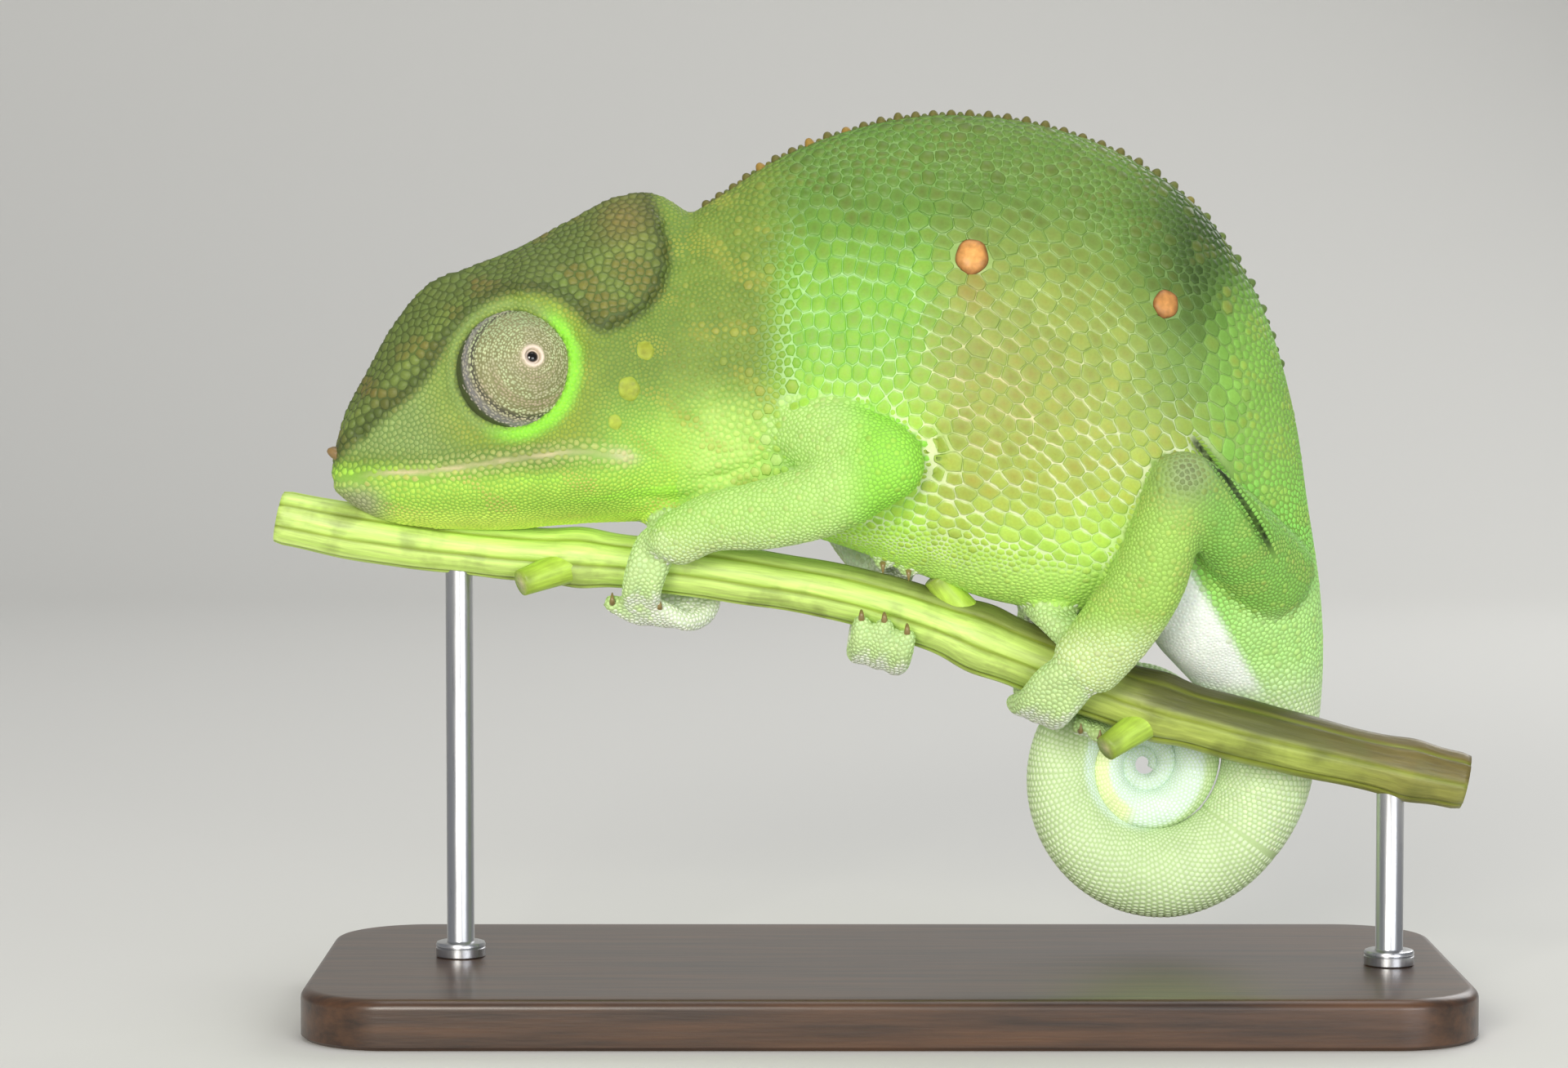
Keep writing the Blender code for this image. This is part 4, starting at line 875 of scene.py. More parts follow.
LINES_END = 29.0  # the lines between scales fade in and out only in front of the thigh's fold
for piece, points, normal, form, slot in ((skin, skin_points, normals, skin_form, "skin"),
                                          (tail, tail_points, tail_normals, tail_form, "pale_skin")):
    centre, rim, line = coat_colours(points, normal, form)
    faint = (form == 0) * ease((LINES_END - points[:, 0]) / 3) * (0.7 - 0.5 * line_play(points))
    set_tint(piece.data, line + (rim - line) * faint[:, None])
    set_uv(piece.data, atlas(points, normal, form))
    piece.data.materials.clear()
    piece.data.materials.append(soft_skin)
    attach(piece, "root")
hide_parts("head", "lower_jaw", "neck", "torso_front", "torso_rear", "rump", "tail_1_root", *LIMBS, *FEET)
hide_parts("tail_2", "tail_3", "tail_4", "tail_5", "tail_6_tip")


# Scales
# Flat granules that touch edge to edge: long and in slanting rows on the flank, in rings on the tail, and
# fine with a few larger ones among them on neck and limbs. Each fills its own cell of the skin.
ROW_SLANT = ((-30, 0), (-8, -4), (2, -10), (10, -28), (18, -38), (60, -44))  # x, degrees down to the rear
FLANK_ROWS = ((-12.0, 3.4, 1.8, 1.36), (3.4, 38.0, 1.56, 1.98))  # from x, to x, mm between rows, along them
TUBERCLES = (  # the few large round scales of flank and cheek: x, z, size
    (8.2, 76.7, 3.7), (27.5, 72.0, 3.0), (8.4, 71.6, 1.4), (-25.8, 63.6, 2.5), (-24.2, 67.4, 2.0),
    (-27.2, 60.3, 1.6),
)
BIG_AMONG_FINE, BIG_FACTOR = 0.06, 1.4
BIG_ON_BACK, BACK_FACTOR = 0.12, 1.35
ROOT_SCALE = 0.56
ROW_SHAKE, ROW_MISSING = 0.14, 0.05  # share of the spacing, share of the seeds
CLEAR_OF_ROWS, CLEAR_OF_OTHERS = 1.0, 0.45  # mm between a loose seed and the placed ones
OUTLINE_CORNERS, ROUND_CORNERS, FINE_CORNERS = 24, 48, 6


def flank_share(points, form):
    """1 where the long flank scales grow, 0 elsewhere."""
    x, z = points[:, 0], points[:, 2]
    top = 85 - 0.6 * np.clip(x - 14, 0, 30)
    low = 48 - 0.25 * np.clip(x - 4, 0, 16)
    return (form == 0) * ease((x + 12) / 5) * ease((37 - x) / 5) * ease((top - z) / 4) * ease((z - low) / 4)


def on_tail_root(points, form):
    """Which points lie on the tail's root, where the scales stand in rings as on the tail."""
    return (form == 0) & (points[:, 0] > 28) & (points[:, 2] < 33)


def scale_sizes(points, form):
    """Scale size in mm at places: largest on the flank and casque, finest on toes and at the tail's tip."""
    x, z = points[:, 0], points[:, 2]
    head, limb, foot, tail = body_part(points, form)
    size = 0.6 + 0.5 * ease((42 - x) / 9) * ease((z - 50) / 5)
    size += (1.1 - size) * ease((z - 78 + 0.5 * np.clip(x - 18, 0, 30)) / 6) * (x > -14)
    size += (0.62 - size) * ease((49 - z) / 3) * ease((x + 12) / 6) * ease((30 - x) / 4)
    size += (1.5 + 0.22 * ease((x - 1) / 4) - size) * flank_share(points, form)
    size += (0.45 - size) * vent_share(points, form)
    crown = ease(from_line(points, CROWN_EDGE)[2] / 2 + 0.3)
    size = np.where(head, 0.48 + 0.5 * crown + 0.1 * ease((-42 - x) / 6), size)
    away = from_line(points, MOUTH)[0]
    size = np.where(head, size + (0.7 - size) * bump(away - 0.6, 0.6), size)
    size = np.where((form == 0) & ~head & (x < -10), 0.56 + 0.45 * ease((x + 20) / 10), size)
    size = np.where(on_tail_root(points, form), ROOT_SCALE, size)
    size = np.where(limb, 0.52 + 0.26 * bump(np.hypot(x - 29, z - 55.0), 3.0), size)
    size = np.where(foot, 0.54, size)
    radius = np.hypot(x - COIL_CENTRE[0], z - COIL_CENTRE[1])
    return np.where(tail, 0.36 + (ROOT_SCALE - 0.36) * ease((radius - 2) / 9), size)


def scale_rows(points, normals, form):
    """At each place the way along the scale rows and across them, and how much longer than wide scales are."""
    x = points[:, 0]
    slant = np.radians(np.interp(x, *np.array(ROW_SLANT, float).T))
    way = np.column_stack([np.cos(slant), np.zeros(len(x)), np.sin(slant)])
    along = way - np.einsum("ij,ij->i", way, normals)[:, None] * normals
    length = np.linalg.norm(along, axis=1)
    spare = np.cross(normals, np.array([0.0, 1.0, 0.0])) + 1e-6
    along = np.where(length[:, None] > 0.2, along, spare)
    along /= np.linalg.norm(along, axis=1)[:, None]
    across = np.cross(normals, along)
    return along, across, 1 + (0.26 * ease((x - 1) / 4) - 0.12) * flank_share(points, form)


def surface_of(points, faces):
    """A search tree for places on a surface, in mm."""
    return BVHTree.FromPolygons(points.tolist(), faces)


def nearest_on(tree, points):
    """Nearest places on a surface and its normals there."""
    found = [tree.find_nearest(p) for p in points.tolist()]
    return np.array([f[0] for f in found]), np.array([f[1] for f in found])


def triangles_of(mesh):
    """The corner numbers of a mesh's triangles."""
    mesh.calc_loop_triangles()
    flat = np.empty(len(mesh.loop_triangles) * 3, np.int32)
    mesh.loop_triangles.foreach_get("vertices", flat)
    return flat.reshape(-1, 3)


def scatter(points, triangles, area_each, seed):
    """Random places on triangles, as many for each area as scales of the given area would fill."""
    draw = np.random.default_rng(seed)
    a, b, c = (points[triangles[:, i]] for i in range(3))
    area = np.linalg.norm(np.cross(b - a, c - a), axis=1) / 2
    want = area / area_each[triangles].mean(1)
    total = int(want.sum())
    pick = draw.choice(len(triangles), total, p=want / want.sum())
    u, v = draw.random(total), draw.random(total)
    over = u + v > 1
    u[over], v[over] = 1 - u[over], 1 - v[over]
    return a[pick] + u[:, None] * (b - a)[pick] + v[:, None] * (c - a)[pick]


def flank_rows(tree, seed):
    """Seeds along the flank's rows: every row is the integral of the slant, shifted down by the row step,
    and each second row starts half a scale later. They are thrown onto both flanks from the side, a little
    out of line, and a few are left out so that their neighbours grow larger."""
    draw = np.random.default_rng(seed)
    found = []
    for low, high, step, spacing in FLANK_ROWS:
        fine = np.linspace(low, high, 600)
        slope = np.tan(np.radians(np.interp(fine, *np.array(ROW_SLANT, float).T)))
        drop = np.concatenate([[0], np.cumsum(np.diff(fine) * slope[1:])])
        run = np.concatenate([[0], np.cumsum(np.diff(fine) * np.hypot(1, slope[1:]))])
        for row in range(-4, int(88 / step)):
            steps = np.arange((row % 2) * 0.5 + 0.1, run[-1] / spacing) * spacing
            for side in (-1, 1):
                shake = draw.normal(0, ROW_SHAKE * spacing, (len(steps), 2)) * (1, 0.8)
                xs = np.interp(steps, run, fine) + shake[:, 0]
                zs = 42 + row * step + np.interp(steps, run, drop) + shake[:, 1]
                for x, z, luck in zip(xs, zs, draw.random(len(xs))):
                    hit, normal, _, _ = tree.ray_cast((x, side * 40.0, z), (0, -side, 0))
                    if luck > ROW_MISSING and hit is not None and abs(normal[1]) > 0.5 and hit[1] * side > 0:
                        found.append(tuple(hit))
    return np.array(found)


def ring_seeds(rings, sizes):
    """Seeds in rings round a tube: along each ring a scale's size apart, and each second ring turned by half
    a scale, so that they lie in neat diagonal rows as on a real tail."""
    centres = rings.mean(1)
    run = np.concatenate([[0], np.cumsum(np.linalg.norm(np.diff(centres, axis=0), axis=1))])
    girth = np.linalg.norm(rings - np.roll(rings, 1, axis=1), axis=2).sum(1)
    place, seeds, row = 0.3, [], 0
    columns = rings.shape[1]
    while place < run[-1]:
        i = int(np.searchsorted(run, place))
        count = max(5, int(round(girth[i] / sizes[i])))
        turn = (np.arange(count) + 0.5 * (row % 2)) / count * columns
        low = turn.astype(int) % columns
        share = (turn - np.floor(turn))[:, None]
        seeds.append(rings[i, low] * (1 - share) + rings[i, (low + 1) % columns] * share)
        place += sizes[i] * 0.88
        row += 1
    return np.vstack(seeds)


def neighbours(seeds, count):
    """Numbers of the nearest seeds to each seed."""
    tree = KDTree(len(seeds))
    for i, p in enumerate(seeds.tolist()):
        tree.insert(p, i)
    tree.balance()
    return np.array([[n for _, n, _ in tree.find_n(p, count + 1)][1:] for p in seeds.tolist()])


def cell_reach(seeds, normals, form, size, near, corners):
    """How far each scale's cell reaches in a number of directions: to the nearest of the lines between it
    and its neighbours, which lie nearer to the smaller of the two. Distances along the rows are shortened
    by the stretch, so that cells grow long that way."""
    along, across, stretch = scale_rows(seeds, normals, form)
    offset = seeds[near] - seeds[:, None, :]
    facing = np.einsum("ijk,ik->ij", normals[near], normals) > 0.0
    u = np.einsum("ijk,ik->ij", offset, along) / stretch[:, None]
    v = np.einsum("ijk,ik->ij", offset, across) * stretch[:, None]
    distance = np.hypot(u, v)
    usable = facing & (distance > 0.05)
    distance = np.where(usable, distance, 1e3)
    half = distance / 2 + (size[:, None] ** 2 - size[near] ** 2) / (8 * distance)
    half = np.maximum(half, 0.12 * size[:, None])
    angles = np.linspace(0, 2 * math.pi, corners, endpoint=False)
    ahead = np.cos(np.arctan2(v, u)[:, :, None] - angles)
    reach = np.where(ahead > 0.08, half[:, :, None] / np.maximum(ahead, 0.08), 1e3).min(1)
    return np.minimum(reach, size[:, None] * 0.85), angles, along, across, stretch


def settle(seeds, size, form_reader, tree, pinned, pushes, centrings):
    """Spreads seeds evenly over the skin. First they push each other apart until they are their sizes
    apart, then each moves to the centre of its own cell, again and again. Pinned seeds stay."""
    loose = ~pinned
    for turn in range(pushes + centrings):
        seeds, normals = nearest_on(tree, seeds)
        form = form_reader(seeds)
        if turn < pushes:
            along, across, stretch = scale_rows(seeds, normals, form)
            near = neighbours(seeds, 9)
            offset = seeds[near] - seeds[:, None, :]
            u = np.einsum("ijk,ik->ij", offset, along) / stretch[:, None]
            v = np.einsum("ijk,ik->ij", offset, across) * stretch[:, None]
            distance = np.hypot(u, v) + 1e-6
            wanted = (size[:, None] + size[near]) / 2
            force = np.clip(1.1 * wanted - distance, 0, None) * 0.42
            shift_u, shift_v = -(force * u / distance).sum(1), -(force * v / distance).sum(1)
        else:
            reach, angles, along, across, stretch = cell_reach(
                seeds, normals, form, size, neighbours(seeds, 12), 12)
            weight = np.maximum((reach**2).sum(1), 1e-9)
            shift_u = 2 / 3 * (reach**3 * np.cos(angles)).sum(1) / weight
            shift_v = 2 / 3 * (reach**3 * np.sin(angles)).sum(1) / weight
        shift = along * (shift_u * stretch)[:, None] + across * (shift_v / stretch)[:, None]
        length = np.linalg.norm(shift, axis=1) + 1e-9
        shift *= (np.minimum(1, size * 0.4 / length) * loose)[:, None]
        seeds = seeds + shift
    seeds, normals = nearest_on(tree, seeds)
    return seeds, normals


def cell_outlines(seeds, normals, form, size, corners, gap_along, gap_across):
    """The outline of each scale as steps from its seed: its cell drawn in by half the gap to the next one,
    which is narrow along the rows and grows with the cube of the sine of the angle to them."""
    reach, angles, along, across, stretch = cell_reach(seeds, normals, form, size, neighbours(seeds, 13), corners)
    u = reach * np.cos(angles) * stretch[:, None]
    v = reach * np.sin(angles) / stretch[:, None]
    length = np.hypot(u, v)
    narrow = gap_along[:, None] + (gap_across - gap_along)[:, None] * np.abs(v / length) ** 3
    keep = np.clip(1 - narrow / length, 0.3, 1)
    return (u * keep)[:, :, None] * along[:, None, :] + (v * keep)[:, :, None] * across[:, None, :]


def scale_piece(name, seeds, normals, outline, tree, heights, levels, tints, uv, finish):
    """One mesh of domed scales. Each has a top point, rings at shares of the outline and heights, a rim sunk
    into the skin and a closed underside. The tints are those of centre, rim and line, and a share for each
    corner by which the outer rings take the line's tint."""
    count, corners = outline.shape[:2]
    stack = [(seeds + normals * heights[:, None])[:, None, :]]
    shares = [share for share, _ in levels]
    for share, rise in levels:
        flat = seeds[:, None, :] + outline * share
        place, normal = nearest_on(tree, flat.reshape(-1, 3))
        ahead = np.einsum("ij,ij->i", normal, np.repeat(normals, corners, 0))[:, None] > 0
        normal = np.where(ahead, normal, np.repeat(normals, corners, 0))
        lift = heights[:, None] * rise if rise > 0 else rise
        lift = np.broadcast_to(lift, (count, corners)).reshape(-1, 1)
        stack.append((place + normal * lift).reshape(count, corners, 3))
    stack.append((seeds - normals * 0.12)[:, None, :])
    points = np.concatenate(stack, axis=1)
    per = points.shape[1]
    j = np.arange(corners)
    k = (j + 1) % corners
    faces = [np.column_stack([np.zeros(corners, int), 1 + j, 1 + k])]
    for level in range(len(levels) - 1):
        a, b = 1 + level * corners, 1 + (level + 1) * corners
        faces.append(np.column_stack([a + j, b + j, b + k]))
        faces.append(np.column_stack([a + j, b + k, a + k]))
    last = 1 + (len(levels) - 1) * corners
    faces.append(np.column_stack([last + k, last + j, np.full(corners, per - 1)]))
    faces = np.vstack(faces)
    everything = (np.arange(count)[:, None, None] * per + faces[None]).reshape(-1, 3)
    mesh = bpy.data.meshes.new(name)
    mesh.vertices.add(count * per)
    mesh.vertices.foreach_set("co", (points.reshape(-1, 3) * MM).astype(np.float32).ravel())
    mesh.loops.add(len(everything) * 3)
    mesh.loops.foreach_set("vertex_index", everything.astype(np.int32).ravel())
    mesh.polygons.add(len(everything))
    mesh.polygons.foreach_set("loop_start", np.arange(0, len(everything) * 3, 3, dtype=np.int32))
    mesh.update(calc_edges=True)
    mesh.shade_smooth()
    inner, outer, line, pale = tints
    share = np.concatenate([[0], *[np.full(corners, (s / max(shares)) ** 2.5) for s in shares], [1]])
    colours = inner[:, None, :] * (1 - share[None, :, None]) + outer[:, None, :] * share[None, :, None]
    patch = np.zeros((per, 2))
    angles = np.linspace(0, 2 * math.pi, corners, endpoint=False)
    for level, s in enumerate(shares):
        ring = slice(1 + level * corners, 1 + (level + 1) * corners)
        patch[ring] = np.column_stack([np.cos(angles), np.sin(angles)]) * s
        colours[:, ring] += (line - outer)[:, None, :] * (pale * np.clip((s - 0.77) * 5, 0, 1))[:, :, None]
    set_tint(mesh, colours.reshape(-1, 3))
    set_uv(mesh, (uv[:, None, :] + patch[None] * 0.0015 / max(shares)).reshape(-1, 2))
    mesh.materials.append(finish)
    made = bpy.data.objects.new(name, mesh)
    bpy.context.scene.collection.objects.link(made)
    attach(made, "root")
    return made


def mixed_sizes(size, chance, factor, draw):
    """Makes a few scales bigger by a factor and the rest a little smaller, with some play in each."""
    big = draw.random(len(size)) < chance
    return size * np.where(big, factor, 0.93) * draw.uniform(0.92, 1.08, len(size)), big


skin_triangles = triangles_of(whole)
skin_tree = surface_of(skin_points, skin_triangles.tolist())
draw = np.random.default_rng(7)

# Fixed seeds come first: the tubercles, hidden ones that keep mouth and thigh fold free, and the fold's edges
fixed, fixed_size, shown = [], [], []
for tubercle_x, tubercle_z, size in TUBERCLES:
    for side, shift in ((-1, 0.0), (1, 0.9)):
        hit = skin_tree.ray_cast((tubercle_x + shift, side * 40.0, tubercle_z - shift * 0.6), (0, -side, 0))[0]
        fixed.append(tuple(hit))
        fixed_size.append(size)
        shown.append(True)
for line, off, step, size in ((MOUTH, 0.0, 0.25, 0.25), (FOLDS[0][0], 0.0, 0.2, 0.3),
                              (FOLDS[0][0], 0.42, 0.46, 0.5), (FOLDS[0][0], -0.42, 0.46, 0.5)):
    table = with_lengths(line, line)
    places = np.arange(0.8, table[-1, 0] - 0.1, step)
    here = smooth_rows(table, places)
    way = smooth_rows(table, places + 0.1) - here
    here += off * np.column_stack([-way[:, 1], way[:, 0]]) / np.linalg.norm(way, axis=1)[:, None]
    for hold_x, hold_z in here:
        for side in (-1, 1) if line is MOUTH else (-1,):
            hit = skin_tree.ray_cast((hold_x, side * 40.0, hold_z), (0, -side, 0))[0]
            if hit is not None:
                fixed.append(tuple(hit))
                fixed_size.append(size)
                shown.append(off != 0)
fixed = np.array(fixed)

rows = flank_rows(skin_tree, 4)
row_form = forms_near(rows)
rows = rows[flank_share(rows, row_form) > 0.5]
root_rings = body_rings(body_place(10.6), coil_place(TAIL_JOIN), 72, 0.4)
root = ring_seeds(root_rings, np.full(len(root_rings), ROOT_SCALE))
root, _ = nearest_on(skin_tree, root)
rows = np.vstack([rows, root[on_tail_root(root, forms_near(root))]])
skin_sizes = scale_sizes(skin_points, skin_form)
loose = scatter(skin_points, skin_triangles, 0.88 * skin_sizes**2, 11)
loose = loose[~on_tail_root(loose, forms_near(loose))]
tree = KDTree(len(rows) + len(fixed))
for i, p in enumerate(np.vstack([rows, fixed]).tolist()):
    tree.insert(p, i)
tree.balance()
in_rows = flank_share(loose, forms_near(loose)) > 0.5
from_placed = np.array([tree.find(p)[2] for p in loose.tolist()])
loose = loose[from_placed > np.where(in_rows, CLEAR_OF_ROWS, CLEAR_OF_OTHERS)]
tree = KDTree(len(fixed))
for i, p in enumerate(fixed.tolist()):
    tree.insert(p, i)
tree.balance()
rows = rows[np.array([tree.find(p)[2] - fixed_size[tree.find(p)[1]] * 0.5 for p in rows.tolist()]) > 0.3]

seeds = np.vstack([fixed, rows, loose])
form = forms_near(seeds)
pinned = np.arange(len(seeds)) < len(fixed)
shown = np.concatenate([shown, np.ones(len(rows) + len(loose), bool)])
size = scale_sizes(seeds, form)
head, limb, foot, _ = body_part(seeds, form)
flank = flank_share(seeds, form) > 0.5
uneven = 1 + 0.12 * waves(seeds, 5.0, 61) + 0.2 * (draw.random(len(seeds)) < 0.16)
size = np.where(flank, size * uneven * 0.95, size)
on_back = ~flank & (form == 0) & (seeds[:, 2] > 76) & (seeds[:, 0] > -12)
fine_mix, fine_big = mixed_sizes(size, BIG_AMONG_FINE * (vent_share(seeds, form) < 0.5), BIG_FACTOR, draw)
back_mix, back_big = mixed_sizes(size, BIG_ON_BACK, BACK_FACTOR, draw)
fine = (limb | ((form == 0) & ~flank & ~on_back)) & ~head & ~on_tail_root(seeds, form)
size = np.where(fine, fine_mix, np.where(on_back, back_mix, size * draw.uniform(0.94, 1.06, len(size))))
big = (fine & fine_big) | (on_back & back_big)
size[pinned] = fixed_size
seeds, seed_normals = settle(seeds, size, forms_near, skin_tree, pinned, 7, 5)
form = forms_near(seeds)

# Leave out the hidden seeds, the eye sockets and what lies inside the tail's tube
keep = shown.copy()
for side in (-1, 1):
    keep &= ~((from_ball(seeds, side) < EYE_RADIUS - 0.02) & (seeds[:, 1] * side > 0))
coil_angle = np.degrees(np.arctan2(-(seeds[:, 2] - COIL_CENTRE[1]), seeds[:, 0] - COIL_CENTRE[0]))
near_end = (np.hypot(seeds[:, 0] - COIL_CENTRE[0], seeds[:, 2] - COIL_CENTRE[1]) < 21) & (seeds[:, 2] < 24)
keep &= ~(near_end & (coil_angle > TAIL_JOIN - 3.5) & (form == 0))

centre, rim, line = coat_colours(seeds, seed_normals, form)
laid_coat = [centre, rim]
laid(laid_coat, (big & ~pinned & ~foot & ~on_back) * 0.22, "#A9A24C", "#A2AE52")
laid(laid_coat, (big & ~pinned & on_back) * np.where(seeds[:, 0] < 0, 0.2, 0.4), "#5E6A2C", "#6C7E3A")
tubercle = pinned & (size > 1.0)
on_cheek = seeds[:, 0] < -20
orange = tubercle & ~on_cheek & (size > 2.0)
laid(laid_coat, orange * 1.0, "#D89A56", "#7E522D")
laid(laid_coat, (tubercle & on_cheek) * 0.65, "#A0A62E", "#9EAC38")
centre, rim = laid_coat
centre = centre * draw.uniform(0.88, 1.12, (len(seeds), 1)) * draw.uniform(0.96, 1.04, (len(seeds), 3))
low_flank = (ease((74 - seeds[:, 2]) / 20) * flank_share(seeds, form))
gap_along = np.full(len(seeds), 0.004)
gap_across = 0.02 + 0.1 * low_flank * line_play(seeds)
uv = atlas(seeds, seed_normals, form)
crown = head & (from_line(seeds, CROWN_EDGE)[2] > 0.3)
heights = size * np.where(flank, 0.07, 0.085) * (1 + 0.15 * (big & ~on_back))
domed = tubercle & (size > 1.5)
heights = np.where(domed, np.where(on_cheek, 0.06, 0.17) * size, heights * (1 - 0.6 * vent_share(seeds, form)))

groups = {
    "scales_flank_left": flank & (seeds[:, 1] < 0),
    "scales_flank_right": flank & (seeds[:, 1] >= 0),
    "scales_back": on_back,
    "scales_crown": crown,
    "scales_head_left": head & ~crown & (seeds[:, 1] < 0),
    "scales_head_right": head & ~crown & (seeds[:, 1] >= 0),
    "scales_body_left": (form == 0) & ~(head | flank | on_back) & (seeds[:, 1] < 0),
    "scales_body_right": (form == 0) & ~(head | flank | on_back) & (seeds[:, 1] >= 0),
    "scales_forelimbs": (form > HEAD_FORM) & (seeds[:, 0] < 12),
    "scales_hindlimbs": (form > HEAD_FORM) & (seeds[:, 0] >= 12),
}
FINE_LEVELS = ((0.72, 0.74), (1.0, -0.03))
BOLD_LEVELS = ((0.82, 0.8), (1.0, -0.04))
FLANK_LEVELS = ((0.72, 0.9), (0.88, 0.7), (1.0, -0.02))
outlines = cell_outlines(seeds, seed_normals, form, size, OUTLINE_CORNERS, gap_along, gap_across)
rims = seeds[:, None, :] + outlines
facing_rows = np.abs(np.sin(np.linspace(0, 2 * math.pi, OUTLINE_CORNERS, endpoint=False))) ** 2.5
pale = facing_rows * (0.35 + 0.65 * line_play(rims.reshape(-1, 3)).reshape(-1, OUTLINE_CORNERS))
for name, pick in groups.items():
    pick = pick & keep & ~domed
    # Fine scales take every fourth corner of the outline, bold ones every second and the flank's take all
    step, share, levels = 4, 0.0, FINE_LEVELS
    if name in ("scales_back", "scales_crown"):
        step, share, levels = 2, 0.5, BOLD_LEVELS
    if name in ("scales_flank_left", "scales_flank_right"):
        step, share, levels = 1, 1.0, FLANK_LEVELS
    piece = scale_piece(name, seeds[pick], seed_normals[pick], outlines[pick, ::step], skin_tree, heights[pick],
                        levels, (centre[pick], rim[pick], line[pick], pale[pick, ::step] * share), uv[pick],
                        scaly_skin)

# The round scales of flank and cheek are mottled domes, a little taller than long and not quite round
round_scale = tinted_skin("round_scale", 0.4, 0.6, 0.1, 0.34)
along, across, _ = scale_rows(seeds[domed], seed_normals[domed], form[domed])
angles = np.linspace(0, 2 * math.pi, ROUND_CORNERS, endpoint=False)
bent = 1 + 0.05 * np.cos(2 * angles + 1) + 0.03 * np.cos(5 * angles)
outline = ((bent * np.cos(angles) * 0.94)[None, :, None] * along[:, None, :]
           + (bent * np.sin(angles) * 1.1)[None, :, None] * across[:, None, :])
ROUND_LEVELS = ((0.3, 0.96), (0.55, 0.84), (0.76, 0.64), (0.92, 0.3), (1.0, -0.1))
outline = outline * size[domed, None, None] * 0.48
piece = scale_piece("scales_round", seeds[domed], seed_normals[domed], outline, skin_tree, heights[domed], ROUND_LEVELS,
                    (centre[domed], rim[domed], rim[domed], np.zeros((domed.sum(), ROUND_CORNERS))), uv[domed],
                    round_scale)


def all_tail(points):
    """Every place belongs to the tail."""
    return np.full(len(points), TAIL_FORM)


tail_tree = surface_of(tail_points, triangles_of(tail.data).tolist())
rings = tail_points[:-2].reshape(-1, TAIL_COLUMNS, 3)
tail_seeds = ring_seeds(rings, scale_sizes(rings.mean(1), all_tail(rings)))
size = scale_sizes(tail_seeds, all_tail(tail_seeds)) * draw.uniform(0.95, 1.05, len(tail_seeds))
tail_seeds, seed_normals = settle(tail_seeds, size, all_tail, tail_tree, np.zeros(len(tail_seeds), bool), 0, 2)
form = all_tail(tail_seeds)
centre, rim, _ = coat_colours(tail_seeds, seed_normals, form)
narrow = np.full(len(tail_seeds), 0.03)
piece = scale_piece("scales_tail", tail_seeds, seed_normals,
                    cell_outlines(tail_seeds, seed_normals, form, size, FINE_CORNERS, narrow, narrow),
                    tail_tree, size * 0.09, FINE_LEVELS, (centre, rim, rim, np.zeros((len(rim), FINE_CORNERS))),
                    atlas(tail_seeds, seed_normals, form), scaly_skin)


# Eye turrets
# Cone-like lids of skin, fused to one round lid with a small opening, covered in rings of fine granules.
# The dome is a profile turned round the gaze, and the granules sit on it in rings.
EYE_BACK = 2.0
LID_OPENING, LID_DEPTH = 0.84, 0.9


def gaze_frame(side):
    """Columns for a turned body round an eye's gaze: two ways across it and the gaze itself."""
    axis = gaze(side)
    up = np.array([0, 0, 1]) - axis[2] * axis
    up /= np.linalg.norm(up)
    return np.column_stack([np.cross(up, axis), up, axis])


def turned(profile, segments, columns, centre):
    """A grid of circles: each row of the profile is a distance along the axis and a radius."""
    profile = np.asarray(profile, float)
    angles = np.linspace(0, 2 * math.pi, segments, endpoint=False)
    flat = np.stack([
        profile[:, 1, None] * np.cos(angles),
        profile[:, 1, None] * np.sin(angles),
        np.repeat(profile[:, 0, None], segments, axis=1),
    ], axis=2)
    return flat @ columns.T + np.asarray(centre)


def turret_height(radius):
    """Height of the turret's dome over its middle at a radius: a sphere with two low folds near its edge
    and a swollen rim round the opening."""
    dome = np.sqrt(np.clip(EYE_RADIUS**2 - radius**2, 0.01, None))
    folds = 0.14 * bump(radius - 5.75, 0.14) + 0.12 * bump(radius - 5.25, 0.14) - 0.1 * bump(radius - 5.5, 0.12)
    folds = folds + 0.035 * np.cos(radius * 9.5) * ease((radius - 1.6) * 2) * ease((5.1 - radius) * 2)
    return dome + folds + 0.2 * bump(radius - LID_OPENING - 0.2, 0.28)


